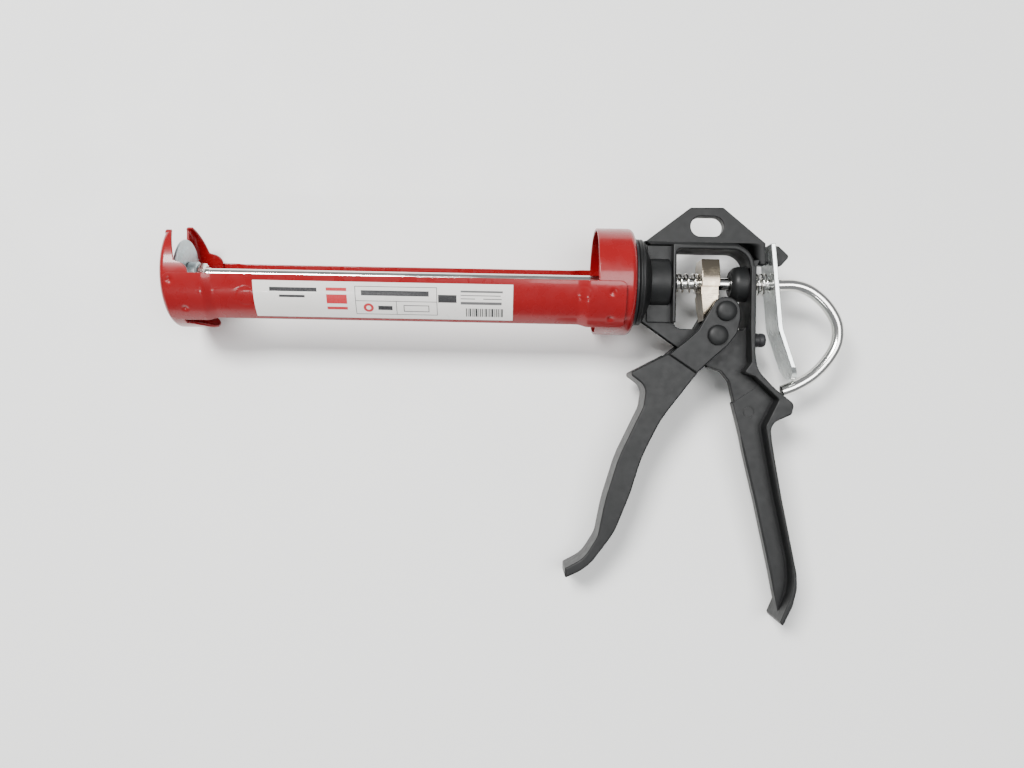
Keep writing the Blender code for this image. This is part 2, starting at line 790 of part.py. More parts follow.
# ---------------------------------------------------------------- rod
def smooth_path(points, per_span):
    """A path through the points, rounded as a Catmull-Rom curve."""
    path = []
    ends = [points[0]] + list(points) + [points[-1]]
    for i in range(1, len(ends) - 2):
        a, b, c, d = (Vector(p) for p in ends[i - 1 : i + 3])
        for k in range(per_span):
            t = k / per_span
            square = (2 * a - 5 * b + 4 * c - d) * t * t
            cube = (3 * b - a - 3 * c + d) * t**3
            path.append(0.5 * (2 * b + (c - a) * t + square + cube))
    path.append(Vector(points[-1]))
    return path


def make_rod(rest):
    hook = smooth_path(((HOOK_START, 0.0),) + HOOK_POINTS, 4)
    path = [(ROD_START, 0.0, 0.0), (-100.0, 0.0, 0.0)] + [(p[0], p[1], 0.0) for p in hook]
    obj = finish("push_rod", tube(path, ROD_R, 20), rest, CHROME)
    shade_round(obj)
    return obj


def make_piston(rest):
    back = PISTON_BACK
    bore = ROD_R + GAP
    disc = [(back - 1.3, bore), (back - 1.3, 12.5), (back - 2.3, 14.0), (back - 2.3, PISTON_R)]
    disc += [(back - 0.9, PISTON_R), (back - 0.9, 14.4), (back + 0.1, 12.9), (back + 0.1, bore)]
    shade_round(finish("piston_plate", lathe(disc, 48), rest, ZINC))
    spacer = [(back + 0.4, bore), (back + 0.4, 6.4), (back + 4.6, 6.4), (back + 5.2, 5.6)]
    spacer.append((back + 5.2, bore))
    shade_round(finish("piston_spacer", lathe(spacer, 24), rest, ZINC))
    nut = finish("piston_nut", prism(hexagon(5.6), back + 5.5, back + 9.0, "x"), rest, CHROME)
    cut = lathe(bar(back, back + 14.0, bore), 24)
    boolean(nut, finish("cut_piston_nut", cut, rest, None), "DIFFERENCE")


def centre_on_floor(rest):
    """Moves the rest frame so that the gun's bounding box has its bottom centre at the origin."""
    bpy.context.view_layer.update()
    graph = bpy.context.evaluated_depsgraph_get()
    low = Vector((1e9, 1e9, 1e9))
    high = -low
    for obj in bpy.data.objects:
        if obj.type != "MESH" or obj.hide_render:
            continue
        shape = obj.evaluated_get(graph)
        for vertex in shape.data.vertices:
            point = shape.matrix_world @ vertex.co
            for k in range(3):
                low[k] = min(low[k], point[k])
                high[k] = max(high[k], point[k])
    rest.location = (-(low.x + high.x) / 2.0, -(low.y + high.y) / 2.0, -low.z)


def main():
    clear_scene()
    rest = bpy.data.objects.new("rest", None)
    bpy.context.scene.collection.objects.link(rest)
    rest.rotation_euler = (math.radians(REST_TILT_DEG), 0.0, 0.0)
    make_front_cup(rest)
    make_rear_cup(rest)
    make_rail(rest, "rail_near", 1.0)
    make_rail(rest, "rail_far", -1.0)
    make_label(rest)
    make_swivel(rest)
    make_casting(rest)
    make_bumper(rest)
    make_trigger(rest)
    rivet("pivot_rivet", PIVOT, PIVOT_R, rest)
    rivet("drive_pin", DRIVE_PIN, DRIVE_PIN_R, rest)
    make_block(rest)
    make_springs(rest)
    make_lever(rest)
    make_rod(rest)
    make_piston(rest)
    centre_on_floor(rest)


main()
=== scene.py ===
"""Looks of the caulking gun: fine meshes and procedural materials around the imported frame.

Pieces are drawn in the gun's own frame, in millimetres: x runs along the barrel from the nozzle end to the
rod's hook, with 0 on the rear cup's back face, y points to the hang plate, and z is the width direction.
"""

import json
import math

import bmesh
import bpy
from mathutils import Matrix, Vector
from mathutils.geometry import tessellate_polygon

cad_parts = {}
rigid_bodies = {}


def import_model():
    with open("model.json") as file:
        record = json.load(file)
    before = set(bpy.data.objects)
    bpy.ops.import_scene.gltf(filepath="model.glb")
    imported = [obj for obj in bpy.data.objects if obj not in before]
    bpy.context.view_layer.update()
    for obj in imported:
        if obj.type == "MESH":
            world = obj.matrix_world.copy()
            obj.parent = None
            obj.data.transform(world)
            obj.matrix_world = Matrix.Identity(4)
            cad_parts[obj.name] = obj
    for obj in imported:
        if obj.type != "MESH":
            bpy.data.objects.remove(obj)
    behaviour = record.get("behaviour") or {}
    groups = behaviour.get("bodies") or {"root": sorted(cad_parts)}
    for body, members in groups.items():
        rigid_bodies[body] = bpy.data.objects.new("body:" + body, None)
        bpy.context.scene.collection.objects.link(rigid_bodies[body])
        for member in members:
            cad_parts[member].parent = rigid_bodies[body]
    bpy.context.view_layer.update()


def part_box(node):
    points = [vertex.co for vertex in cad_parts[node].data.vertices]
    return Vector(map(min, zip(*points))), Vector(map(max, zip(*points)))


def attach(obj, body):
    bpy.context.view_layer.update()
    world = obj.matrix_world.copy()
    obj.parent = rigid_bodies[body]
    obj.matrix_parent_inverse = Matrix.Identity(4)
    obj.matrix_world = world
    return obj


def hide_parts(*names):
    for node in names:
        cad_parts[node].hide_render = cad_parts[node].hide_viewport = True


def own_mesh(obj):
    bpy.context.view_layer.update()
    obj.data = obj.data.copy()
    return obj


for leftover in list(bpy.data.objects):
    bpy.data.objects.remove(leftover, do_unlink=True)
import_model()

MM = 0.001
REST_TILT_DEG = 5.57

# The cradle
CUP_R = 27.2
SHEET = 1.2
CRADLE_LENGTH = 232.9
FRONT_WALL = 14.3
REAR_WALL = 19.0
CUP_CORNER = 3.0
RAIL_R = 27.2
JOGGLE_R = 28.7
FRONT_JOGGLE = -206.5
REAR_JOGGLE = -29.0
JOGGLE_LENGTH = 6.0
WELD_DEPTH = 0.75
DIE_DEPTH = 0.12
SHEET_RIM = 0.3
RAIL_START = -230.2
RAIL_END = -5.3
RAIL_EDGE_DEG = 82.8
RAIL_SPAN_DEG = 53.8
RAIL_CORNER = 3.2
CRADLE_ROLL_DEG = 13.4
EAR_DEG = 31.0
EAR_END_DEG = 71.0
EAR_TIP = 3.4
EAR_ROOT = 7.7
LOBE_DEG = 82.0
WALL_END_DEG = 130.0
LOW_WALL_DEG = 136.0
LOW_WALL = 7.9
TAB_HALF_DEG = 30.0
TAB_LENGTH = 11.5
SLOT_R = 9.6
SLOT_FLARE = 4.6
SWIVEL_R = 9.0
SWIVEL_HOLE_R = 9.3
SWIVEL_NUT_R = 16.0
SWIVEL_NUT = (-6.5, -1.5)

# The label on the near rail
LABEL_START = -187.0
LABEL_END = -60.5
LABEL_TOP_DEG = 89.0
LABEL_HEIGHT = 19.9
LABEL_INNER_R = RAIL_R + 0.1
LABEL_R = RAIL_R + 0.25
INK = 0.03

# The push rod and its piston
ROD_R = 3.12
ROD_START = -231.6
BORE_R = 3.55
PISTON_R = 17.5
PISTON_BACK = -227.3
HOOK_POINTS = (
    (76.0, 0.0),
    (84.5, 0.0),
    (92.5, -2.6),
    (100.3, -8.9),
    (105.6, -16.9),
    (107.1, -24.1),
    (105.9, -31.1),
    (101.5, -38.6),
    (94.3, -46.2),
    (85.2, -51.9),
    (78.1, -54.8),
)

# The casting
WEB_HALF = 3.0
FLANGE_HALF = 12.0
RING_HALF = 9.6
BLOCK_HALF = 3.9
NOSE_HALF = 2.6
DISC_R = 22.0
BOSS_R = 12.5
BOSS_END = 19.4
SLEEVE_R = 9.0
WALL_FRONT = 58.9
WINDOW_TOP = 16.4
WINDOW_BOTTOM = -23.6
WINDOW_FRONT = 21.8
HANG_SLOT = ((41.7, 29.2), (35.1, 29.2))
HANG_SLOT_R = 5.2

# The trigger and its pins
PIVOT = (42.4, -27.2)
DRIVE_PIN = (46.6, -15.0)
TRIGGER_HALF = 10.6
CHEEK_HALF = 12.0
CHEEK_GAP = 8.7
PIVOT_R = 2.6
DRIVE_PIN_R = 3.2
RIVET_SEAT = 12.3
RIVET_HEAD_R = 5.1
RIVET_HEAD_HIGH = 2.6

# The grip block, its spring, the release lever and its spring
BLOCK_FRONT = 34.8
BLOCK_BACK = 44.0
BLOCK_HIGH = 11.8
BLOCK_CROWN_R = 26.0
BLOCK_DEEP = 9.4
TONGUE_HALF = 8.2
TONGUE_END = -19.4
GROOVE = (-2.0, -6.2)
GROOVE_DEEP = 1.8
SPRING_SEAT = 22.2
DRIVE_COIL_R = 4.7
DRIVE_WIRE = 0.6
RELEASE_SEAT = 61.9
RELEASE_END = 69.6
RELEASE_COIL_R = 5.4
RELEASE_WIRE = 0.55
LEVER_HALF = 10.5
LEVER_THICK = 2.3
LEVER_TOP = (69.0, 19.9)
LEVER_TILT_DEG = 5.5
LEVER_BEND_Y = -23.0
LEVER_FOOT = (82.1, -48.8)
LEVER_HOLE_R = 4.1
BUMPER_Y = -28.6
BUMPER_R = 3.6

# The camera, in the gun's own frame
CAMERA_PLACE = (-60.2, -60.7, 440.0)
CAMERA_PITCH_DEG = 0.938
CAMERA_ROLL_DEG = 1.1
CAMERA_LENS = 30.07


def rest_matrix():
    """The gun's frame in the world: its origin is the middle of the rear cup's back face."""
    low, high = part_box("rear_cup")
    origin = Vector((high[0], (low[1] + high[1]) / 2.0, (low[2] + high[2]) / 2.0))
    return Matrix.Translation(origin) @ Matrix.Rotation(math.radians(REST_TILT_DEG), 4, "X")


REST = rest_matrix()


# ---------------------------------------------------------------- materials
class Paint:
    """One procedural material: a Principled shader and the node chains that vary it."""

    def __init__(self, name, colour, roughness, metallic=0.0, **uniform):
        self.material = bpy.data.materials.new(name)
        self.material.use_nodes = True
        self.tree = self.material.node_tree
        self.shader = self.tree.nodes["Principled BSDF"]
        self.shader.inputs["Base Color"].default_value = (*colour, 1.0)
        self.shader.inputs["Roughness"].default_value = roughness
        self.shader.inputs["Metallic"].default_value = metallic
        for socket, value in uniform.items():
            self.shader.inputs[socket.replace("_", " ")].default_value = value
        self.coords = self.add("ShaderNodeTexCoord").outputs["Object"]
        self.last_normal = None

    def add(self, kind):
        return self.tree.nodes.new(kind)

    def link(self, source, target):
        self.tree.links.new(source, target)

    def noise(self, size_mm, detail=3.0, stretch=(1.0, 1.0, 1.0), roughness=0.5):
        """Noise from 0 to 1 with features of about this size; stretch lengthens it along an axis."""
        place = self.add("ShaderNodeMapping")
        place.inputs["Scale"].default_value = [1.0 / s for s in stretch]
        self.link(self.coords, place.inputs["Vector"])
        made = self.add("ShaderNodeTexNoise")
        made.inputs["Scale"].default_value = 1000.0 / size_mm
        made.inputs["Detail"].default_value = detail
        made.inputs["Roughness"].default_value = roughness
        self.link(place.outputs["Vector"], made.inputs["Vector"])
        return made.outputs["Fac"]

    def remap(self, source, low, high, to_low=0.0, to_high=1.0):
        """Carries the range from low to high to another range, and stops at its ends."""
        made = self.add("ShaderNodeMapRange")
        made.inputs["From Min"].default_value = low
        made.inputs["From Max"].default_value = high
        made.inputs["To Min"].default_value = to_low
        made.inputs["To Max"].default_value = to_high
        self.link(source, made.inputs["Value"])
        return made.outputs["Result"]

    def times(self, first, second):
        made = self.add("ShaderNodeMath")
        made.operation = "MULTIPLY"
        self.link(first, made.inputs[0])
        self.link(second, made.inputs[1])
        return made.outputs["Value"]

    def edges(self, radius_mm):
        """A mask that is 1 along sharp edges and 0 on open surfaces."""
        bevel = self.add("ShaderNodeBevel")
        bevel.samples = 4
        bevel.inputs["Radius"].default_value = radius_mm * MM
        plain = self.add("ShaderNodeNewGeometry")
        dot = self.add("ShaderNodeVectorMath")
        dot.operation = "DOT_PRODUCT"
        self.link(bevel.outputs["Normal"], dot.inputs[0])
        self.link(plain.outputs["Normal"], dot.inputs[1])
        return self.remap(dot.outputs["Value"], 0.97, 0.86)

    def tint(self, mask, colour):
        """Blends the base colour towards another where the mask is 1."""
        base = self.shader.inputs["Base Color"]
        mix = self.add("ShaderNodeMix")
        mix.data_type = "RGBA"
        if base.is_linked:
            self.link(base.links[0].from_socket, mix.inputs[6])
        else:
            mix.inputs[6].default_value = base.default_value
        mix.inputs[7].default_value = (*colour, 1.0)
        self.link(mask, mix.inputs[0])
        self.link(mix.outputs[2], base)

    def rough(self, source):
        self.link(source, self.shader.inputs["Roughness"])

    def bump(self, height, depth_mm, strength=1.0):
        """Adds a relief of this depth on top of those already there."""
        made = self.add("ShaderNodeBump")
        made.inputs["Distance"].default_value = depth_mm * MM
        made.inputs["Strength"].default_value = strength
        self.link(height, made.inputs["Height"])
        if self.last_normal is not None:
            self.link(self.last_normal, made.inputs["Normal"])
        self.last_normal = made.outputs["Normal"]
        self.link(self.last_normal, self.shader.inputs["Normal"])


def red_enamel():
    uniform = {"Specular_IOR_Level": 0.35, "Coat_Weight": 0.35, "Coat_Roughness": 0.06}
    paint = Paint("red_enamel", (0.24, 0.004, 0.0062), 0.3, **uniform)
    paint.tint(paint.remap(paint.noise(14.0), 0.35, 0.7, 0.0, 0.35), (0.2, 0.003, 0.005))
    worn = paint.times(paint.edges(0.5), paint.remap(paint.noise(1.6), 0.5, 0.75))
    paint.tint(worn, (0.1, 0.006, 0.008))
    paint.rough(paint.remap(paint.noise(9.0, 5.0), 0.4, 0.7, 0.24, 0.38))
    paint.bump(paint.noise(22.0, 1.0, (2.5, 1.0, 1.0)), 0.35, 0.5)
    paint.bump(paint.noise(2.2, 2.0), 0.02, 0.5)
    paint.bump(paint.remap(paint.noise(0.7, 2.0, (14.0, 1.0, 1.0)), 0.62, 0.72), 0.004, 0.4)
    return paint.material


def black_enamel():
    paint = Paint("black_casting", (0.0085, 0.009, 0.0092), 0.48, Specular_IOR_Level=0.3)
    paint.tint(paint.remap(paint.noise(8.0, 4.0), 0.4, 0.7, 0.0, 0.5), (0.012, 0.0125, 0.0125))
    worn = paint.times(paint.edges(0.45), paint.remap(paint.noise(2.4, 5.0), 0.52, 0.72))
    paint.tint(worn, (0.05, 0.048, 0.045))
    paint.rough(paint.remap(paint.noise(3.5, 5.0), 0.3, 0.75, 0.42, 0.55))
    paint.bump(paint.noise(11.0, 2.0), 0.18, 0.5)
    paint.bump(paint.noise(0.55, 3.0), 0.02, 0.5)
    return paint.material


def bright_plating(name="bright_plating", along=(40.0, 1.0, 1.0)):
    paint = Paint(name, (0.83, 0.82, 0.79), 0.13, 1.0)
    paint.tint(paint.remap(paint.noise(6.0, 4.0), 0.5, 0.8, 0.0, 0.6), (0.66, 0.64, 0.6))
    scratches = paint.noise(0.35, 3.0, along)
    paint.rough(paint.remap(scratches, 0.35, 0.75, 0.07, 0.24))
    paint.bump(paint.remap(scratches, 0.55, 0.7), 0.006, 0.5)
    return paint.material


def zinc_plating():
    paint = Paint("zinc_plating", (0.43, 0.5, 0.52), 0.38, 0.75)
    paint.tint(paint.remap(paint.noise(3.0, 6.0), 0.4, 0.7, 0.0, 0.7), (0.33, 0.36, 0.36))
    stained = paint.times(paint.edges(0.5), paint.remap(paint.noise(1.3, 4.0), 0.4, 0.65))
    paint.tint(stained, (0.6, 0.6, 0.56))
    paint.rough(paint.remap(paint.noise(1.2, 5.0), 0.3, 0.7, 0.28, 0.52))
    paint.bump(paint.noise(0.6, 4.0), 0.02, 0.6)
    return paint.material


def yellow_plating():
    paint = Paint("yellow_plating", (0.36, 0.31, 0.24), 0.22, 1.0)
    brushed = paint.noise(0.22, 3.0, (30.0, 1.0, 1.0))
    paint.tint(paint.remap(brushed, 0.35, 0.7, 0.0, 0.7), (0.28, 0.23, 0.17))
    paint.tint(paint.remap(paint.noise(4.0, 3.0), 0.5, 0.75, 0.0, 0.5), (0.72, 0.62, 0.45))
    paint.rough(paint.remap(brushed, 0.3, 0.7, 0.14, 0.28))
    paint.bump(brushed, 0.012, 0.7)
    return paint.material


def lever_plating():
    paint = Paint("lever_plating", (0.7, 0.73, 0.72), 0.24, 0.92)
    paint.tint(paint.remap(paint.noise(2.5, 3.0, (1.0, 9.0, 1.0)), 0.4, 0.7, 0.0, 0.5), (0.56, 0.6, 0.59))
    worn = paint.times(paint.edges(0.5), paint.remap(paint.noise(1.5, 4.0), 0.5, 0.7))
    paint.tint(worn, (0.86, 0.87, 0.85))
    paint.rough(paint.remap(paint.noise(1.6, 3.0, (1.0, 7.0, 1.0)), 0.3, 0.7, 0.16, 0.32))
    paint.bump(paint.noise(0.5, 2.0, (1.0, 12.0, 1.0)), 0.006, 0.5)
    return paint.material


def label_film():
    paint = Paint("label_film", (0.82, 0.8, 0.77), 0.32, Coat_Weight=0.3, Coat_Roughness=0.1)
    paint.tint(paint.remap(paint.noise(16.0, 5.0), 0.5, 0.8, 0.0, 0.4), (0.72, 0.7, 0.66))
    paint.rough(paint.remap(paint.noise(3.0, 4.0), 0.3, 0.7, 0.25, 0.4))
    paint.bump(paint.noise(7.0, 2.0, (3.0, 1.0, 1.0)), 0.04, 0.5)
    return paint.material


def ink(name, colour):
    paint = Paint(name, colour, 0.38, Coat_Weight=0.2, Coat_Roughness=0.15)
    paint.tint(paint.remap(paint.noise(0.35, 2.0), 0.45, 0.7, 0.0, 0.25), [0.5 * c + 0.2 for c in colour])
    paint.rough(paint.remap(paint.noise(1.5, 3.0), 0.3, 0.7, 0.3, 0.45))
    return paint.material


def black_rubber():
    paint = Paint("black_rubber", (0.014, 0.014, 0.016), 0.55)
    paint.tint(paint.remap(paint.noise(1.5, 5.0), 0.5, 0.8, 0.0, 0.6), (0.03, 0.03, 0.032))
    paint.rough(paint.remap(paint.noise(1.0, 4.0), 0.3, 0.7, 0.42, 0.68))
    paint.bump(paint.noise(0.3, 3.0), 0.012, 0.7)
    return paint.material


def floor_paint():
    paint = Paint("floor", (0.9, 0.9, 0.885), 0.6)
    paint.tint(paint.remap(paint.noise(220.0, 2.0), 0.35, 0.7, 0.0, 0.5), (0.87, 0.88, 0.87))
    paint.rough(paint.remap(paint.noise(60.0, 3.0), 0.3, 0.7, 0.5, 0.7))
    paint.bump(paint.noise(0.8, 3.0), 0.01, 0.3)
    return paint.material


# ---------------------------------------------------------------- outlines
def arc(centre, radius, start_deg, end_deg, steps):
    """Points along an arc, both ends included."""
    points = []
    for i in range(steps + 1):
        angle = math.radians(start_deg + (end_deg - start_deg) * i / steps)
        points.append((centre[0] + radius * math.cos(angle), centre[1] + radius * math.sin(angle)))
    return points


def rounded(corners, step_deg=6.0):
    """A closed outline from corners (x, y) or (x, y, radius), each radius replaced with an arc."""
    outline = []
    count = len(corners)
    for i, corner in enumerate(corners):
        here = Vector(corner[:2])
        radius = corner[2] if len(corner) > 2 else 0.0
        if radius <= 0.0:
            outline.append(tuple(here))
            continue
        before = (Vector(corners[i - 1][:2]) - here).normalized()
        after = (Vector(corners[(i + 1) % count][:2]) - here).normalized()
        half = before.angle(after) / 2.0
        centre = here + (before + after).normalized() * (radius / math.sin(half))
        reach = radius / math.tan(half)
        first = here + before * reach - centre
        last = here + after * reach - centre
        turn = math.atan2(first.x * last.y - first.y * last.x, first.dot(last))
        steps = max(1, round(abs(math.degrees(turn)) / step_deg))
        for k in range(steps + 1):
            spun = Matrix.Rotation(turn * k / steps, 2) @ first
            outline.append(tuple(centre + spun))
    return outline


def facing(loop, sign):
    """The loop turned counter-clockwise for sign 1 and clockwise for sign -1."""
    area = 0.0
    for i, point in enumerate(loop):
        after = loop[(i + 1) % len(loop)]
        area += point[0] * after[1] - after[0] * point[1]
    return list(loop) if area * sign > 0.0 else list(reversed(loop))


def inset(loop, distance):
    """The loop moved to the left of its own direction."""
    moved = []
    for i, point in enumerate(loop):
        here = Vector(point)
        before = (here - Vector(loop[i - 1])).normalized()
        after = (Vector(loop[(i + 1) % len(loop)]) - here).normalized()
        first = Vector((-before.y, before.x))
        second = Vector((-after.y, after.x))
        moved.append(tuple(here + (first + second) * (distance / max(0.5, 1.0 + first.dot(second)))))
    return moved


# ---------------------------------------------------------------- solids
def place_on(axis, u, v, height):
    """A point of an outline at a height along x or z."""
    if axis == "x":
        return Vector((height, u, v)) * MM
    return Vector((u, v, height)) * MM


def plate(outline, low, high, edge=0.5, holes=(), axis="z", steps=3):
    """A plate with this outline and holes between two planes, every rim rounded with the edge radius."""
    loops = [facing(outline, 1)] + [facing(hole, -1) for hole in holes]
    levels = []
    for k in range(steps + 1):
        turn = math.radians(90.0 * k / steps)
        levels.append((low + edge * (1.0 - math.cos(turn)), edge * (1.0 - math.sin(turn))))
    levels += [(low + high - height, depth) for height, depth in reversed(levels)]
    bm = bmesh.new()
    bottom = []
    top = []
    flat = []
    for loop in loops:
        rings = []
        for height, depth in levels:
            ring = inset(loop, depth)
            rings.append([bm.verts.new(place_on(axis, p[0], p[1], height)) for p in ring])
        for first, second in zip(rings, rings[1:]):
            for k in range(len(loop)):
                n = (k + 1) % len(loop)
                bm.faces.new((first[k], first[n], second[n], second[k]))
        bottom += rings[0]
        top += rings[-1]
        flat.append([Vector((*p, 0.0)) for p in inset(loop, edge)])
    for a, b, c in tessellate_polygon(flat):
        if len({a, b, c}) == 3:
            bm.faces.new((bottom[a], bottom[b], bottom[c]))
            bm.faces.new((top[a], top[b], top[c]))
    bmesh.ops.recalc_face_normals(bm, faces=bm.faces)
    return bm


def lathe(profile, steps=96, centre=(0.0, 0.0), axis="x"):
    """A closed profile of (along, radius) turned round an axis; a radius of 0 closes on the axis."""
    bm = bmesh.new()

    def place(along, radius, angle):
        a = radius * math.cos(angle)
        b = radius * math.sin(angle)
        if axis == "x":
            return Vector((along, centre[0] + a, centre[1] + b)) * MM
        return Vector((centre[0] + a, centre[1] + b, along)) * MM

    rings = []
    for along, radius in profile:
        count = 1 if radius <= 0.0 else steps
        rings.append([bm.verts.new(place(along, radius, 2.0 * math.pi * k / steps)) for k in range(count)])
    for i, ring in enumerate(rings):
        other = rings[(i + 1) % len(rings)]
        for k in range(steps):
            n = (k + 1) % steps
            corners = [ring[k % len(ring)], ring[n % len(ring)], other[n % len(other)], other[k % len(other)]]
            kept = list(dict.fromkeys(corners))
            if len(kept) > 2:
                bm.faces.new(kept)
    bmesh.ops.recalc_face_normals(bm, faces=bm.faces)
    return bm


def soft_profile(corners, radius=0.4, steps=4):
    """A lathe profile with every corner off the axis rounded."""
    sharp = []
    for i, (along, r) in enumerate(corners):
        before = corners[i - 1]
        after = corners[(i + 1) % len(corners)]
        reach = min(math.dist((along, r), before), math.dist((along, r), after)) * 0.45
        sharp.append((along, r, min(radius, reach)) if r > 0.0 else (along, r))
    return rounded(sharp, 90.0 / steps)


def skinned(bm, rings):
    """Joins rings of equal point count in order and caps the two ends."""
    count = len(rings[0])
    for first, second in zip(rings, rings[1:]):
        for k in range(count):
            n = (k + 1) % count
            bm.faces.new((first[k], first[n], second[n], second[k]))
    bm.faces.new(rings[0])
    bm.faces.new(rings[-1])
    bmesh.ops.recalc_face_normals(bm, faces=bm.faces)
    return bm


def tube(path, radius, sides):
    """A round bar along a path of points in millimetres, with rounded ends."""
    bm = bmesh.new()
    points = [Vector(p) for p in path]
    start = (points[0] - points[1]).normalized()
    end = (points[-1] - points[-2]).normalized()
    rims = ((1.0, 0.0), (0.85, 0.45), (0.5, 0.75))
    spine = [(points[0] + start * (radius * 0.3 * (up - 0.75)), radius * wide) for wide, up in reversed(rims)]
    spine += [(p, radius) for p in points[1:-1]]
    spine += [(points[-1] + end * (radius * 0.3 * (up - 0.75)), radius * wide) for wide, up in rims]
    normal = None
    rings = []
    for i, (point, reach) in enumerate(spine):
        ahead = (spine[min(i + 1, len(spine) - 1)][0] - spine[max(i - 1, 0)][0]).normalized()
        if normal is None:
            normal = ahead.orthogonal().normalized()
        else:
            normal = (normal - ahead * normal.dot(ahead)).normalized()
        side = ahead.cross(normal)
        ring = []
        for k in range(sides):
            angle = 2.0 * math.pi * k / sides
            offset = (normal * math.cos(angle) + side * math.sin(angle)) * reach
            ring.append(bm.verts.new((point + offset) * MM))
        rings.append(ring)
    return skinned(bm, rings)


def loft(sections):
    """Closed sections of equal point count joined in order, with the two ends capped."""
    bm = bmesh.new()
    return skinned(bm, [[bm.verts.new(Vector(p) * MM) for p in section] for section in sections])


def bar(low, high, radius):
    """Profile of a plain round bar between two stations of its axis."""
    return [(low, 0.0), (low, radius), (high, radius), (high, 0.0)]


def merged(bm, other):
    """Adds the other's closed bodies to the first."""
    mesh = bpy.data.meshes.new("merged")
    other.to_mesh(mesh)
    other.free()
    bm.from_mesh(mesh)
    bpy.data.meshes.remove(mesh)
    return bm


def linked(name, data):
    """A new object in the scene."""
    obj = bpy.data.objects.new(name, data)
    bpy.context.scene.collection.objects.link(obj)
    return obj


def mesh_object(name, bm):
    mesh = bpy.data.meshes.new(name)
    bm.to_mesh(mesh)
    bm.free()
    return linked(name, mesh)


def joined(base, *steps):
    """The solid after each (operation, solid) of the steps."""
    owner = mesh_object("solid", base)
    others = []
    for operation, bm in steps:
        others.append(mesh_object("tool", bm))
        made = owner.modifiers.new(operation, "BOOLEAN")
        made.operation = operation
        made.solver = "EXACT"
        made.object = others[-1]
    graph = bpy.context.evaluated_depsgraph_get()
    mesh = bpy.data.meshes.new_from_object(owner.evaluated_get(graph))
    result = bmesh.new()
    result.from_mesh(mesh)
    bpy.data.meshes.remove(mesh)
    for obj in [owner] + others:
        bpy.data.objects.remove(obj, do_unlink=True)
    bmesh.ops.remove_doubles(result, verts=result.verts, dist=1e-6)
    bmesh.ops.dissolve_degenerate(result, edges=result.edges, dist=1e-6)
    return result


def piece(name, bm, body, stands_for, paint, sharp_deg=38.0):
    """The mesh as a shown piece that rides on a body and stands for a CAD node."""
    bm.transform(REST)
    obj = mesh_object(name, bm)
    mesh = obj.data
    for face in mesh.polygons:
        face.use_smooth = True
    mesh.set_sharp_from_angle(angle=math.radians(sharp_deg))
    weighted = obj.modifiers.new("weighted", "WEIGHTED_NORMAL")
    weighted.keep_sharp = True
    mesh.materials.append(paint)
    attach(obj, body)
    if stands_for:
        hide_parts(stands_for)
    return obj


def rim_rounding(obj, width_mm, segments=2, angle_deg=50.0):
    """Rounds the cut edges of a piece of sheet."""
    rim = obj.modifiers.new("rim", "BEVEL")
    rim.width = width_mm * MM
    rim.segments = segments
    rim.limit_method = "ANGLE"
    rim.angle_limit = math.radians(angle_deg)
    rim.use_clamp_overlap = False
    obj.modifiers.move(len(obj.modifiers) - 1, 0)


# ---------------------------------------------------------------- cradle
def around(x, radius, angle_deg):
    """A point of the cradle: the angle runs from the middle of its opening towards the +z rail."""
    angle = math.radians(angle_deg + CRADLE_ROLL_DEG)
    return (x, radius * math.cos(angle), radius * math.sin(angle))


def wall_depth(angle_deg):
    """How far back the front cup's wall reaches at an angle from the middle of the opening."""
    angle = abs(angle_deg)
    if angle < EAR_END_DEG:
        return EAR_TIP + (EAR_ROOT - EAR_TIP) * (angle - EAR_DEG) / (EAR_END_DEG - EAR_DEG)
    if angle < LOBE_DEG:
        short = (LOBE_DEG - angle) / (LOBE_DEG - EAR_END_DEG)
        return EAR_ROOT + (FRONT_WALL - EAR_ROOT) * math.sqrt(1.0 - short**2)
    if angle < WALL_END_DEG:
        return FRONT_WALL
    if angle < LOW_WALL_DEG:
        return FRONT_WALL - (FRONT_WALL - LOW_WALL) * (angle - WALL_END_DEG) / (LOW_WALL_DEG - WALL_END_DEG)
    off = (180.0 - angle) / TAB_HALF_DEG
    return LOW_WALL + TAB_LENGTH * math.sqrt(max(0.0, 1.0 - off**2))


def slot_radius(angle_deg):
    """Radius at which the front plate's nozzle slot ends, at an angle from the middle of the opening."""
    angle = math.radians(abs(angle_deg))
    radius = SLOT_R
    if angle < math.pi / 2.0:
        for _ in range(12):
            half = SLOT_R + SLOT_FLARE * min(1.0, radius * math.cos(angle) / 22.0)
            radius = half / math.sin(angle)
    return min(radius, CUP_R - 1.5)


def front_cup_section(angle_deg):
    """Cross-section of the front cup's plate and wall at one angle."""
    face = -CRADLE_LENGTH
    inner = slot_radius(angle_deg)
    depth = wall_depth(angle_deg)
    corner = max(min(CUP_CORNER, depth - 0.2, CUP_R - inner - 0.2), 0.3)
    inner_corner = max(corner - SHEET, 0.1)
    steps = 8
    outer = []
    inside = []
    for k in range(steps + 1):
        turn = math.radians(90.0 * k / steps)
        outer.append((face + corner * (1.0 - math.sin(turn)), CUP_R - corner * (1.0 - math.cos(turn))))
        inside.append(
            (
                face + SHEET + inner_corner * (1.0 - math.cos(turn)),
                CUP_R - SHEET - inner_corner * (1.0 - math.sin(turn)),
            )
        )
    section = [(face, inner)] + list(reversed(outer))
    section.append((face + depth, CUP_R))
    section.append((face + max(depth, corner + 0.2), CUP_R - SHEET))
    section += list(reversed(inside))
    section.append((face + SHEET, inner))
    return [around(x, r, angle_deg) for x, r in section]


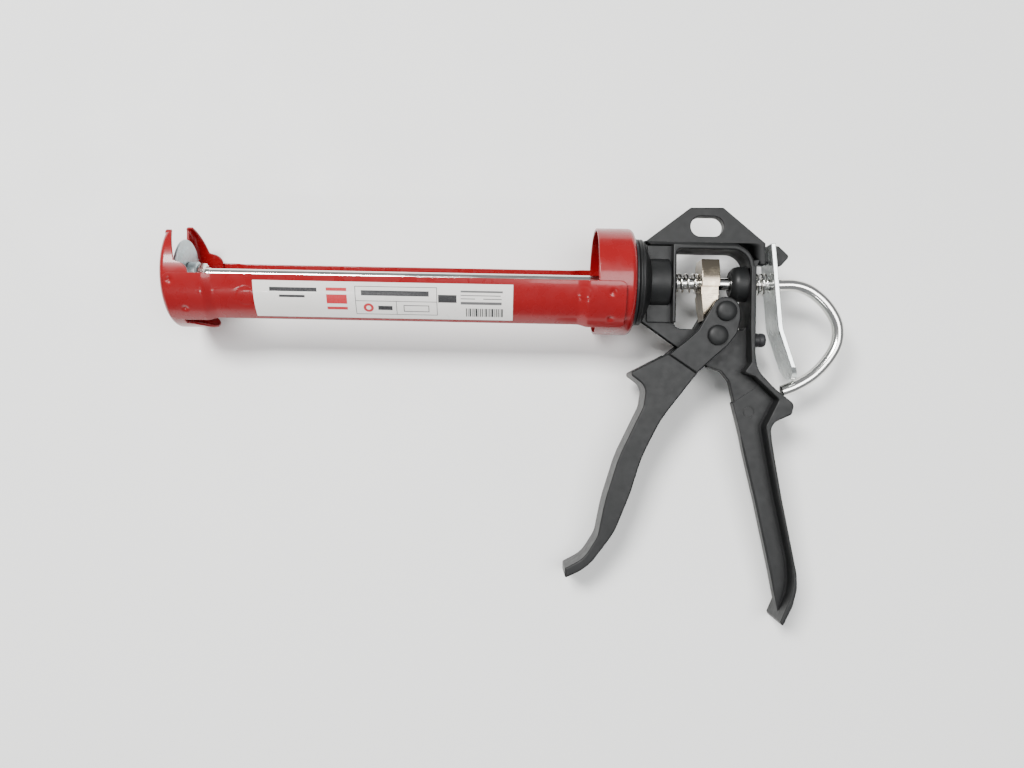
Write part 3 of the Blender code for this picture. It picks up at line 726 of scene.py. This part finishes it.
def make_front_cup(paint):
    count = 260
    angles = [EAR_DEG + (360.0 - 2.0 * EAR_DEG) * i / count for i in range(count + 1)]
    sections = [front_cup_section(a if a <= 180.0 else a - 360.0) for a in angles]
    cup = piece("front_cup_shell", loft(sections), "cradle", "front_cup", paint)
    rim_rounding(cup, SHEET_RIM)


def make_rear_cup(paint):
    corner = arc((-CUP_CORNER, CUP_R - CUP_CORNER), CUP_CORNER, 0.0, 90.0, 10)
    inner = CUP_CORNER - SHEET
    inner_corner = arc((-CUP_CORNER, CUP_R - CUP_CORNER), inner, 90.0, 0.0, 8)
    profile = [(0.0, SWIVEL_HOLE_R)] + corner
    profile += arc((-REAR_WALL + SHEET / 2.0, CUP_R - SHEET / 2.0), SHEET / 2.0, 90.0, 270.0, 8)
    profile += inner_corner
    profile.append((-SHEET, SWIVEL_HOLE_R))
    piece("rear_cup_shell", lathe(profile, 160), "cradle", "rear_cup", paint)


# Spot welds and round die marks on a rail: x, angle from the opening's middle, radius, kind
RAIL_MARKS = (
    (-12.1, 94.5, 1.7, "weld"),
    (-12.4, 123.6, 1.7, "weld"),
    (-227.0, 90.6, 1.9, "weld"),
    (-221.3, 119.9, 1.5, "weld"),
    (-25.9, 95.9, 3.6, "ring"),
    (-190.9, 106.8, 5.3, "ring"),
)


def rail_relief(x, angle_deg):
    """How far the rail's surface stands out at a point: a weld is a dimple and a die mark a round line."""
    height = 0.0
    for mark_x, mark_deg, radius, kind in RAIL_MARKS:
        across = math.radians(angle_deg - mark_deg) * JOGGLE_R
        away = math.hypot(x - mark_x, across)
        if away > 3.0 * radius:
            continue
        if kind == "weld":
            height -= WELD_DEPTH * math.exp(-((away / (0.75 * radius)) ** 2))
            height += 0.02 * math.exp(-(((away - 1.5 * radius) / (0.4 * radius)) ** 2))
        else:
            height -= DIE_DEPTH * math.exp(-(((away - radius) / 0.45) ** 2))
    return height


def rail_radius(x):
    """Outer radius of a rail: it steps out over each cup's wall."""
    front = min(1.0, max(0.0, (FRONT_JOGGLE - x) / JOGGLE_LENGTH))
    back = min(1.0, max(0.0, (x - REAR_JOGGLE) / JOGGLE_LENGTH))
    step = max(front, back)
    return RAIL_R + (JOGGLE_R - RAIL_R) * step * step * (3.0 - 2.0 * step)


def corner_inset(x):
    """How far the rail's edges stand in at x, in millimetres of arc, for its rounded corners."""
    near = min(x - RAIL_START, RAIL_END - x)
    if near >= RAIL_CORNER:
        return 0.0
    return RAIL_CORNER - math.sqrt(max(0.0, RAIL_CORNER**2 - (RAIL_CORNER - near) ** 2))


def rail_stations():
    """Places along the rail: close together where it carries marks or bends, and wide apart between."""
    stations = [RAIL_START + 0.05 * k * k for k in range(5)]
    while stations[-1] < RAIL_END - 0.8:
        x = stations[-1]
        plain = -183.0 < x < -33.0
        stations.append(x + (6.0 if plain else 0.5))
    return stations[:-1] + [RAIL_END - 0.05 * k * k for k in range(4, -1, -1)]


def make_rail(paint, name, side):
    sections = []
    steps = 52
    for x in rail_stations():
        outer = rail_radius(x)
        inset_deg = math.degrees(corner_inset(x) / outer)
        low = RAIL_EDGE_DEG + inset_deg
        high = RAIL_EDGE_DEG + RAIL_SPAN_DEG - inset_deg
        angles = [low + (high - low) * k / steps for k in range(steps + 1)]
        section = [around(x, outer + rail_relief(x, a), side * a) for a in angles]
        for a in reversed(angles):
            section.append(around(x, outer - SHEET + min(0.0, rail_relief(x, a)) * 0.5, side * a))
        sections.append(section)
    rail = piece(f"{name}_sheet", loft(sections), "cradle", name, paint)
    rim_rounding(rail, SHEET_RIM)


# ---------------------------------------------------------------- label
def label_patch(bm, start, end, top_mm, bottom_mm, inner, outer):
    """A curved rectangle on the near rail; top and bottom are arc lengths below the label's upper edge."""
    low = LABEL_TOP_DEG + math.degrees(top_mm / RAIL_R)
    high = LABEL_TOP_DEG + math.degrees(bottom_mm / RAIL_R)
    steps = max(1, round((bottom_mm - top_mm) / 0.8))
    angles = [low + (high - low) * k / steps for k in range(steps + 1)]
    sections = []
    for x in (start, end):
        section = [around(x, outer, a) for a in angles]
        section += [around(x, inner, a) for a in reversed(angles)]
        sections.append(section)
    return merged(bm, loft(sections))


def label_disc(bm, x, down_mm, radius, inner_radius=0.0):
    """A printed disc or ring on the label."""
    count = 40
    layers = []
    for reach in (radius, inner_radius):
        for lift in (LABEL_R, LABEL_R + INK):
            ring = []
            for k in range(count):
                angle = 2.0 * math.pi * k / count
                down = down_mm + reach * math.sin(angle)
                degrees = LABEL_TOP_DEG + math.degrees(down / RAIL_R)
                ring.append(around(x + reach * math.cos(angle), lift, degrees))
            layers.append(ring)
    low_out, high_out, low_in, high_in = [[bm.verts.new(Vector(p) * MM) for p in ring] for ring in layers]
    for k in range(count):
        n = (k + 1) % count
        bm.faces.new((low_out[k], low_out[n], high_out[n], high_out[k]))
        bm.faces.new((high_out[k], high_out[n], high_in[n], high_in[k]))
        bm.faces.new((high_in[k], high_in[n], low_in[n], low_in[k]))
        bm.faces.new((low_in[k], low_in[n], low_out[n], low_out[k]))
    bmesh.ops.recalc_face_normals(bm, faces=bm.faces)
    return bm


def printed(rectangles):
    """Ink on the label, one patch for each (start, end, top, bottom)."""
    bm = bmesh.new()
    for start, end, top, bottom in rectangles:
        label_patch(bm, start, end, top, bottom, LABEL_R, LABEL_R + INK)
    return bm


def frame_lines(start, end, top, bottom, line=0.28):
    """Four thin bars round a rectangle."""
    return [
        (start, end, top, top + line),
        (start, end, bottom - line, bottom),
        (start, start + line, top + line, bottom - line),
        (end - line, end, top + line, bottom - line),
    ]


def make_label(film, black_ink, red_ink, gray_ink):
    """The sticker, printed with plain bars and boxes that stand for its text and marks."""
    bm = label_patch(bmesh.new(), LABEL_START, LABEL_END, 0.0, LABEL_HEIGHT, LABEL_INNER_R, LABEL_R)
    piece("label_film", bm, "cradle", "label", film)
    dark = [(-179.0, -156.0, 3.2, 5.2), (-174.5, -162.0, 7.0, 8.2)]
    dark += frame_lines(-137.5, -97.5, 2.0, 17.2)
    dark += [(-134.5, -101.5, 4.0, 6.6), (-137.2, -97.8, 9.3, 9.55), (-117.6, -117.35, 9.6, 16.9)]
    dark += [(-126.5, -119.5, 12.0, 14.4)]
    dark += frame_lines(-114.0, -101.5, 11.4, 15.2, 0.35)
    dark += [(-97.0, -88.0, 5.6, 9.6)]
    bars = (0.5, 0.3, 0.8, 0.3, 0.5, 1.0, 0.3, 0.5)
    x = -83.5
    while x < -65.0:
        for width in bars:
            dark.append((x, x + width, 12.6, 17.6))
            x += width + 0.45
            if x > -65.0:
                break
    piece("label_print_black", printed(dark), "cradle", None, black_ink)
    gray = [(-86.0, -65.5, 3.3, 4.2), (-86.0, -66.5, 5.5, 5.9), (-86.0, -79.0, 7.2, 7.6)]
    gray += [(-75.0, -66.0, 7.2, 7.6), (-86.0, -66.0, 9.0, 10.4)]
    piece("label_print_gray", printed(gray), "cradle", None, gray_ink)
    red = printed([(-151.5, -141.5, 3.0, 4.6), (-151.5, -141.5, 6.4, 11.2), (-151.5, -141.5, 13.0, 14.6)])
    label_disc(red, -131.2, 13.2, 2.5, 1.2)
    piece("label_print_red", red, "cradle", None, red_ink)


# ---------------------------------------------------------------- swivel
def hexagon(radius):
    return arc((0.0, 0.0), radius, 0.0, 300.0, 5)


def hex_nut(low, high, radius, bore):
    """A nut with both faces chamfered round its corners."""
    flat = radius * math.cos(math.radians(30.0))
    fall = (radius - flat) * 0.6
    cone = [(low, 0.0), (low, flat * 0.98), (low + fall, radius), (high - fall, radius), (high, flat * 0.98)]
    cone.append((high, 0.0))
    body = plate(hexagon(radius), low, high, 0.12, (), "x", 2)
    hole = lathe(soft_profile(bar(low - 2.0, high + 2.0, bore)), 48)
    return joined(body, ("INTERSECT", lathe(cone)), ("DIFFERENCE", hole))


def make_swivel(rubber, zinc):
    washer = soft_profile(
        [(0.3, SWIVEL_HOLE_R), (0.3, DISC_R + 0.4), (1.6, DISC_R + 0.4), (1.6, SWIVEL_HOLE_R)], 0.3
    )
    piece("swivel_washer_ring", lathe(washer, 120), "body", "swivel_washer", rubber)
    nut = hex_nut(SWIVEL_NUT[0], SWIVEL_NUT[1], SWIVEL_NUT_R, SWIVEL_HOLE_R)
    piece("swivel_nut_hex", nut, "body", "swivel_nut", zinc)


# ---------------------------------------------------------------- casting
WEB_OUTLINE = (
    (4.4, 20.6, 0.6),
    (7.5, 21.5, 0.8),
    (29.8, 38.8, 2.0),
    (46.6, 39.1, 2.0),
    (68.5, 21.1, 0.8),
    (68.6, 9.9, 0.8),
    (60.8, 9.7),
    (59.5, -38.3),
    (62.2, -45.8),
    (74.8, -58.4),
    (68.4, -70.8),
    (68.3, -74.3),
    (72.4, -93.1),
    (79.2, -128.0),
    (82.5, -144.6),
    (82.8, -152.1),
    (80.2, -161.4),
    (77.3, -168.0),
    (73.1, -147.7),
    (64.8, -111.1),
    (58.7, -86.5),
    (53.6, -62.0),
    (50.9, -50.2, 4.0),
    (46.7, -45.0, 3.0),
    (39.3, -42.9, 6.0),
    (23.4, -33.1, 3.0),
    (3.7, -19.4, 1.5),
)

FLANGE_OUTLINE = (
    (WALL_FRONT, 8.0),
    (WALL_FRONT, -24.4),
    (59.6, -40.6, 1.5),
    (56.0, -45.7, 1.0),
    (61.5, -47.7, 2.0),
    (73.7, -58.9, 1.5),
    (67.1, -72.7, 4.0),
    (69.1, -84.0, 30.0),
    (74.1, -108.7),
    (78.1, -126.4),
    (81.3, -141.0, 30.0),
    (82.0, -150.8, 15.0),
    (80.7, -157.8, 15.0),
    (75.7, -169.9, 0.4),
    (77.0, -172.3, 0.6),
    (81.9, -162.1, 12.0),
    (84.1, -153.1, 15.0),
    (83.7, -145.6, 15.0),
    (75.8, -108.7),
    (70.7, -81.5, 30.0),
    (69.5, -71.3, 6.0),
    (80.3, -66.3, 2.6),
    (81.3, -60.9, 3.0),
    (71.3, -53.2, 20.0),
    (62.6, -44.1, 12.0),
    (61.5, -35.2, 8.0),
    (61.6, 8.0),
)

RIM_OUTLINE = (
    (20.0, -20.8),
    (20.0, 18.8),
    (61.3, 18.8, 11.2),
    (61.3, 4.0),
    (WALL_FRONT, 4.0),
    (WALL_FRONT, WINDOW_TOP, 8.8),
    (WINDOW_FRONT, WINDOW_TOP, 2.5),
    (WINDOW_FRONT, -20.8),
)

# A low ridge with slanting sides runs outside the rim
RIDGE_OUTLINE = (
    (7.8, 17.6),
    (7.8, 21.0),
    (63.2, 21.0, 13.2),
    (63.2, 10.4),
    (59.8, 10.4),
    (59.8, 17.6, 9.8),
)
RIDGE_HALF = 4.55
RIDGE_SLOPE = 1.7

BLOCK_OUTLINE = (
    (7.6, -20.8, 1.0),
    (WINDOW_FRONT, -20.8),
    (WINDOW_FRONT, 18.8),
    (7.6, 18.8, 1.0),
)

WINDOW_OUTLINE = (
    (WINDOW_FRONT, WINDOW_BOTTOM, 4.0),
    (WALL_FRONT, WINDOW_BOTTOM, 2.5),
    (WALL_FRONT, WINDOW_TOP, 8.8),
    (WINDOW_FRONT, WINDOW_TOP, 2.5),
)

NOSE_OUTLINE = (
    (65.0, 16.4),
    (73.0, 16.4, 0.6),
    (73.6, 20.1, 0.7),
    (75.5, 19.7, 1.2),
    (81.0, 14.6, 1.6),
    (76.6, 9.6, 1.3),
    (74.3, 9.3, 0.7),
    (73.7, 11.2, 0.6),
    (65.0, 11.2),
)

# The lower handle's web is a little thicker below a slanting line
PAD_OUTLINE = (
    (52.6, -61.0, 0.4),
    (65.6, -51.9, 0.4),
    (72.9, -58.6, 0.4),
    (66.3, -71.8),
    (66.2, -74.3),
    (73.4, -110.0),
    (77.6, -129.0),
    (80.3, -142.0),
    (80.8, -150.9),
    (79.4, -158.0),
    (77.0, -165.3),
    (73.7, -147.6),
    (65.4, -111.0),
    (59.3, -86.4),
)
PAD_HALF = 3.4
GUSSET_LINE = ((5.2, -20.9), (23.2, -33.4), (39.2, -43.2))
EJECTOR_MARK = (60.6, -65.5)
EJECTOR_MARK_R = 2.7


def hub_profile():
    """The disc behind the cradle with its shallow groove, the cone and the front boss."""
    hub = [(1.9, 0.0), (1.9, DISC_R - 0.6), (2.5, DISC_R), (3.1, DISC_R), (3.3, DISC_R - 0.35)]
    hub += [(3.6, DISC_R - 0.35), (3.8, DISC_R), (4.4, DISC_R), (5.1, DISC_R - 0.7)]
    hub += [(8.2, BOSS_R + 2.0), (8.8, BOSS_R), (BOSS_END - 0.8, BOSS_R), (BOSS_END, BOSS_R - 0.8)]
    return soft_profile(hub + [(BOSS_END, 0.0)], 0.5)


def sleeve_profile():
    nose = [(50.6, 0.0), (50.6, 6.4)] + arc((54.6, 4.9), 4.1, 155.0, 90.0, 7)
    return nose + [(60.2, SLEEVE_R), (60.2, 0.0)]


def band(line, width, half, edge):
    """A plate along a bent line, on both sides of the middle plane."""
    left = []
    right = []
    for i, point in enumerate(line):
        ahead = Vector(line[min(i + 1, len(line) - 1)]) - Vector(line[max(i - 1, 0)])
        across = Vector((-ahead.y, ahead.x)).normalized() * (width / 2.0)
        left.append(tuple(Vector(point) + across))
        right.append(tuple(Vector(point) - across))
    return plate(left + list(reversed(right)), -half, half, edge)


def ring_groove(centre, radius, low, high):
    """A cutter for a narrow round groove."""
    profile = [(low, radius - 0.28), (low, radius + 0.28), (high, radius + 0.28), (high, radius - 0.28)]
    return lathe(profile, 48, centre, "z")


def make_casting(paint):
    slot = arc(HANG_SLOT[0], HANG_SLOT_R, -90.0, 90.0, 24) + arc(HANG_SLOT[1], HANG_SLOT_R, 90.0, 270.0, 24)
    window = rounded(WINDOW_OUTLINE)
    web = plate(rounded(WEB_OUTLINE), -WEB_HALF, WEB_HALF, 0.55, (window, slot))
    steps = [
        ("UNION", plate(rounded(FLANGE_OUTLINE), -FLANGE_HALF, FLANGE_HALF, 0.6)),
        ("UNION", plate(rounded(RIDGE_OUTLINE), -RIDGE_HALF, RIDGE_HALF, RIDGE_SLOPE, (), "z", 1)),
        ("UNION", plate(rounded(RIM_OUTLINE), -RING_HALF, RING_HALF, 0.8)),
        ("UNION", plate(rounded(BLOCK_OUTLINE), -BLOCK_HALF, BLOCK_HALF, 0.5)),
        ("UNION", plate(rounded(NOSE_OUTLINE), -NOSE_HALF, NOSE_HALF, 0.6)),
        ("UNION", plate(rounded(PAD_OUTLINE), -PAD_HALF, PAD_HALF, 0.3)),
        ("UNION", band(GUSSET_LINE, 1.7, 3.5, 0.3)),
        ("UNION", lathe(hub_profile(), 128)),
        ("UNION", lathe(soft_profile(bar(-8.5, 3.0, SWIVEL_R)), 64)),
        ("UNION", lathe(sleeve_profile(), 64)),
        ("UNION", lathe(soft_profile(bar(-8.3, 8.3, 6.0)), 48, PIVOT, "z")),
        ("DIFFERENCE", lathe(bar(-20.0, 66.0, BORE_R), 48)),
        ("DIFFERENCE", lathe(bar(-20.0, 20.0, PIVOT_R + 0.3), 40, PIVOT, "z")),
    ]
    for side in (1.0, -1.0):
        low, high = sorted((side * (PAD_HALF - 0.35), side * (PAD_HALF + 1.0)))
        steps.append(("DIFFERENCE", ring_groove(EJECTOR_MARK, EJECTOR_MARK_R, low, high)))
    piece("frame_casting", joined(web, *steps), "body", "body_frame", paint)


def rivet_profile(radius):
    """A pin with a low domed head at each end."""
    head = [(RIVET_SEAT, RIVET_HEAD_R - 0.2), (RIVET_SEAT + 0.2, RIVET_HEAD_R)]
    for k in range(13):
        turn = math.radians(90.0 * k / 12)
        along = RIVET_SEAT + 0.7 + (RIVET_HEAD_HIGH - 0.7) * math.sin(turn)
        head.append((along, RIVET_HEAD_R * math.cos(turn) ** 0.8))
    head[-1] = (head[-1][0], 0.0)
    profile = [(-along, r) for along, r in reversed(head)]
    return profile + [(-RIVET_SEAT, radius), (RIVET_SEAT, radius)] + head


def make_rivets(paint):
    pivot = lathe(rivet_profile(PIVOT_R), 72, PIVOT, "z")
    piece("pivot_rivet_pin", pivot, "body", "pivot_rivet", paint)
    drive = lathe(rivet_profile(DRIVE_PIN_R), 72, DRIVE_PIN, "z")
    piece("drive_pin_rivet", drive, "trigger", "drive_pin", paint)


def make_bumper(paint):
    neck = BUMPER_R - 0.25
    profile = [(62.9, 0.0), (62.9, BUMPER_R), (65.6, BUMPER_R), (65.8, neck), (66.2, neck), (66.4, BUMPER_R)]
    profile += [(68.0, BUMPER_R), (69.2, BUMPER_R - 0.5), (69.7, BUMPER_R - 1.8), (69.7, 0.0)]
    bumper = lathe(soft_profile(profile, 0.4), 64, (BUMPER_Y, 0.0))
    piece("bumper_button", bumper, "body", "bumper", paint)


# ---------------------------------------------------------------- trigger
GRIP_OUTLINE = (
    (32.8, -46.6),
    (18.1, -36.8),
    (12.7, -39.6),
    (-1.7, -47.2, 1.6),
    (7.3, -53.7, 7.0),
    (6.0, -63.7, 12.0),
    (-6.0, -89.3, 40.0),
    (-12.8, -112.2, 60.0),
    (-15.9, -129.3, 14.0),
    (-22.6, -140.3, 16.0),
    (-32.0, -145.4, 0.8),
    (-32.0, -150.5, 0.8),
    (-20.6, -145.0, 25.0),
    (-7.6, -127.4, 30.0),
    (-0.1, -108.4, 40.0),
    (5.7, -89.1, 60.0),
    (14.9, -70.2, 60.0),
)

CHANNEL_OUTLINE = (
    (21.8, -21.1),
    (14.0, -42.0, 3.0),
    (7.4, -47.0, 3.0),
    (10.8, -56.8, 8.0),
    (8.1, -66.7, 12.0),
    (-2.7, -89.3, 40.0),
    (-9.7, -112.2, 60.0),
    (-13.0, -129.3, 12.0),
    (-20.3, -141.6, 6.0),
    (27.0, -147.3),
    (68.4, -60.8),
    (70.7, 9.3),
    (22.4, 9.3),
)


def cheek_outline():
    top = arc(DRIVE_PIN, 7.2, 160.0, 5.0, 28)
    back = [(53.9, -18.4, 3.0), (52.4, -26.0, 6.0), (47.5, -32.4, 8.0), (40.7, -38.4), (32.4, -46.5, 0.5)]
    front = [(18.5, -37.4, 0.5), (21.5, -34.7), (26.6, -30.6, 12.0), (32.9, -24.8, 6.0), (35.0, -20.8, 3.0)]
    return rounded(front + top + back)


def make_trigger(paint):
    grip = plate(rounded(GRIP_OUTLINE), -TRIGGER_HALF, TRIGGER_HALF, 0.9, (), "z", 4)
    steps = [("DIFFERENCE", plate(rounded(CHANNEL_OUTLINE), -CHEEK_GAP, CHEEK_GAP, 1.2))]
    for low, high in ((CHEEK_GAP, CHEEK_HALF), (-CHEEK_HALF, -CHEEK_GAP)):
        steps.append(("UNION", plate(cheek_outline(), low, high, 0.7)))
    for centre, radius in ((PIVOT, PIVOT_R), (DRIVE_PIN, DRIVE_PIN_R)):
        steps.append(("DIFFERENCE", lathe(bar(-20.0, 20.0, radius + 0.3), 40, centre, "z")))
    piece("trigger_casting", joined(grip, *steps), "trigger", "trigger", paint)


# ---------------------------------------------------------------- grip block, springs, lever
def crowned_side(steps):
    """One side of the grip block's end view, top first: a crowned face, the groove and the tongue."""
    top_deg = math.degrees(math.asin(BLOCK_HIGH / BLOCK_CROWN_R))
    low_deg = math.degrees(math.asin(GROOVE[0] / BLOCK_CROWN_R))
    crown = arc((0.0, BLOCK_DEEP - BLOCK_CROWN_R), BLOCK_CROWN_R, 90.0 - top_deg, 90.0 - low_deg, steps)
    floor = TONGUE_HALF - GROOVE_DEEP
    side = crown + [(GROOVE[0], floor), (GROOVE[1], floor), (GROOVE[1], TONGUE_HALF)]
    return side + [(-12.0, TONGUE_HALF), (TONGUE_END, TONGUE_HALF - 2.0)]


def make_block(paint):
    side = crowned_side(24)
    outline = [(y, -z) for y, z in side] + list(reversed(side))
    back = DRIVE_PIN[0] - DRIVE_PIN_R - 0.35
    taper = ((30.0, -6.2), (BLOCK_FRONT + 0.01, -6.2), (BLOCK_FRONT + 1.8, -20.5), (30.0, -20.5))
    rear = ((back, -6.2, 1.0), (back, -25.0), (60.0, -25.0), (60.0, -6.2))
    block = joined(
        plate(outline, BLOCK_FRONT, BLOCK_BACK, 0.35, (), "x"),
        ("DIFFERENCE", lathe(bar(20.0, 60.0, BORE_R + 0.1), 48)),
        ("DIFFERENCE", plate(taper, -20.0, 20.0, 0.1)),
        ("DIFFERENCE", plate(rounded(rear), -20.0, 20.0, 0.1)),
    )
    piece("grip_block_bar", block, "grip", "grip_block", paint)


def coil(start, end, radius, wire, turns, closed_turns=0.75):
    """A compression spring's path along x, its first and last turns closed up."""
    per_turn = 36
    whole = turns + 2.0 * closed_turns
    count = int(whole * per_turn)
    pitch = 2.15 * wire
    open_length = (end - start) - 2.0 * wire - 2.0 * closed_turns * pitch
    path = []
    for i in range(count + 1):
        turn = whole * i / count
        opened = min(max(turn - closed_turns, 0.0), turns)
        x = (turn - opened) * pitch + opened * open_length / turns
        angle = 2.0 * math.pi * turn
        path.append((start + wire + x, radius * math.cos(angle), radius * math.sin(angle)))
    return path


def make_springs(paint):
    drive = tube(coil(SPRING_SEAT, BLOCK_FRONT - 0.3, DRIVE_COIL_R, DRIVE_WIRE, 2.6), DRIVE_WIRE, 16)
    drive = piece("drive_spring_coil", drive, "body", "drive_spring", paint)
    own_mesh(drive)
    release = tube(coil(RELEASE_SEAT, RELEASE_END, RELEASE_COIL_R, RELEASE_WIRE, 1.8), RELEASE_WIRE, 16)
    release = piece("release_spring_coil", release, "body", "release_spring", paint)
    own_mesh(release)


def lever_front(y):
    """x of the lever's front face at height y, on its straight upper part."""
    return LEVER_TOP[0] + (LEVER_TOP[1] - y) * math.tan(math.radians(LEVER_TILT_DEG))


def make_lever(paint):
    bend = (lever_front(LEVER_BEND_Y), LEVER_BEND_Y)
    side = (
        (LEVER_TOP[0], LEVER_TOP[1], 0.5),
        (bend[0], bend[1], 18.0),
        (LEVER_FOOT[0], LEVER_FOOT[1], 0.6),
        (LEVER_FOOT[0] + LEVER_THICK * 0.96, LEVER_FOOT[1] + LEVER_THICK * 0.3, 0.6),
        (bend[0] + LEVER_THICK + 0.2, bend[1], 20.0),
        (LEVER_TOP[0] + LEVER_THICK, LEVER_TOP[1], 0.5),
    )
    slot = ((10.3, -3.3, 0.8), (17.3, -3.3, 0.8), (17.3, 3.3, 0.8), (10.3, 3.3, 0.8))
    tip = [(-70.0, -30.0), (-43.0, -30.0), (-43.0, -LEVER_HALF - 1.0)]
    for degrees in range(-90, 91, 5):
        angle = math.radians(degrees)
        tip.append((-40.7 - 8.2 * math.cos(angle), 1.02 * LEVER_HALF * math.sin(angle)))
    tip += [(-43.0, LEVER_HALF + 1.0), (-43.0, 30.0), (-70.0, 30.0)]
    lever = joined(
        plate(rounded(side, 3.0), -LEVER_HALF, LEVER_HALF, 0.4),
        ("DIFFERENCE", lathe(bar(60.0, 80.0, LEVER_HOLE_R), 48)),
        ("DIFFERENCE", plate(rounded(slot), 60.0, 80.0, 0.1, (), "x")),
        ("DIFFERENCE", plate(tip, 60.0, 100.0, 0.1, (), "x")),
    )
    piece("release_lever_strip", lever, "lever", "release_lever", paint)


# ---------------------------------------------------------------- rod and piston
def smooth_path(points, per_span):
    """A path through the points, rounded as a Catmull-Rom curve."""
    path = []
    ends = [points[0]] + list(points) + [points[-1]]
    for i in range(1, len(ends) - 2):
        a, b, c, d = (Vector(p) for p in ends[i - 1 : i + 3])
        for k in range(per_span):
            t = k / per_span
            square = (2 * a - 5 * b + 4 * c - d) * t * t
            cube = (3 * b - a - 3 * c + d) * t**3
            path.append(0.5 * (2 * b + (c - a) * t + square + cube))
    path.append(Vector(points[-1]))
    return path


def make_rod(paint):
    hook = smooth_path(HOOK_POINTS, 12)
    path = [(ROD_START, 0.0, 0.0), (ROD_START + 1.0, 0.0, 0.0)]
    path += [(x, 0.0, 0.0) for x in range(-220, 76, 20)]
    path += [(p[0], p[1], 0.0) for p in hook]
    piece("push_rod_bar", tube(path, ROD_R, 48), "rod", "push_rod", paint)


def make_piston(zinc, bright):
    back = PISTON_BACK
    bore = ROD_R + 0.3
    disc = [(back - 1.3, bore), (back - 1.3, 12.5), (back - 2.3, 14.0), (back - 2.3, PISTON_R)]
    disc += [(back - 0.9, PISTON_R), (back - 0.9, 14.4), (back + 0.1, 12.9), (back + 0.1, bore)]
    plate_disc = lathe(soft_profile(disc, 0.5), 120)
    piece("piston_plate_disc", plate_disc, "piston", "piston_plate", zinc)
    spacer = [(back + 0.4, bore), (back + 0.4, 6.4), (back + 4.6, 6.4), (back + 5.2, 5.6), (back + 5.2, bore)]
    spacer_ring = lathe(soft_profile(spacer, 0.3), 72)
    piece("piston_spacer_ring", spacer_ring, "piston", "piston_spacer", zinc)
    nut = hex_nut(back + 5.5, back + 9.0, 5.6, bore)
    piece("piston_nut_hex", nut, "piston", "piston_nut", bright)


# ---------------------------------------------------------------- stage
def make_floor(paint):
    bm = bmesh.new()
    bmesh.ops.create_grid(bm, x_segments=8, y_segments=8, size=2.5)
    floor = mesh_object("floor", bm)
    floor.data.materials.append(paint)


def area_light(name, direction, distance, size, power, colour=(1.0, 1.0, 1.0)):
    """A rectangular soft light that faces the gun from a direction of the gun's own frame."""
    light = bpy.data.lights.new(name, "AREA")
    light.shape = "RECTANGLE"
    light.size = size[0]
    light.size_y = size[1]
    light.energy = power
    light.color = colour
    obj = linked(name, light)
    away = (REST.to_3x3() @ Vector(direction)).normalized()
    side = Vector((1.0, 0.0, 0.0))
    up = away.cross(side).normalized()
    side = up.cross(away)
    turned = Matrix((side, up, away)).transposed().to_4x4()
    obj.matrix_world = Matrix.Translation(away * distance) @ turned


def make_lights():
    area_light("ceiling_panel", (0.3, 0.05, 1.0), 2.0, (1.1, 1.0), 28.0)
    area_light("key", (-0.42, 0.48, 1.0), 2.0, (0.8, 0.5), 66.0, (1.0, 0.995, 0.985))
    area_light("tube", (-0.33, -0.8, 1.0), 2.0, (0.45, 0.05), 3.2)
    world = bpy.data.worlds.new("room")
    world.use_nodes = True
    background = world.node_tree.nodes["Background"]
    background.inputs["Color"].default_value = (0.94, 0.97, 1.0, 1.0)
    background.inputs["Strength"].default_value = 0.3
    bpy.context.scene.world = world


def make_camera():
    pitch = math.radians(CAMERA_PITCH_DEG)
    roll = math.radians(CAMERA_ROLL_DEG)
    ahead = Vector((0.0, math.sin(pitch), -math.cos(pitch)))
    up = Vector((0.0, math.cos(pitch), math.sin(pitch)))
    right = Vector((1.0, 0.0, 0.0))
    turned_right = right * math.cos(roll) + up * math.sin(roll)
    turned_up = up * math.cos(roll) - right * math.sin(roll)
    basis = Matrix((turned_right, turned_up, -ahead)).transposed().to_4x4()
    data = bpy.data.cameras.new("camera")
    data.sensor_width = 36.0
    data.lens = CAMERA_LENS
    camera = linked("camera", data)
    camera.matrix_world = REST @ Matrix.Translation(Vector(CAMERA_PLACE) * MM) @ basis
    bpy.context.scene.camera = camera


def main():
    red = red_enamel()
    black = black_enamel()
    bright = bright_plating()
    zinc = zinc_plating()
    rubber = black_rubber()
    make_front_cup(red)
    make_rear_cup(red)
    make_rail(red, "rail_near", 1.0)
    make_rail(red, "rail_far", -1.0)
    black_ink = ink("ink_black", (0.02, 0.02, 0.022))
    red_ink = ink("ink_red", (0.5, 0.02, 0.03))
    gray_ink = ink("ink_gray", (0.12, 0.12, 0.12))
    make_label(label_film(), black_ink, red_ink, gray_ink)
    make_swivel(rubber, zinc)
    make_casting(black)
    make_rivets(black)
    make_bumper(rubber)
    make_trigger(black)
    make_block(yellow_plating())
    make_springs(bright_plating("spring_wire", (1.0, 1.0, 1.0)))
    make_lever(lever_plating())
    make_rod(bright)
    make_piston(zinc, bright)
    make_floor(floor_paint())
    make_lights()
    make_camera()


main()
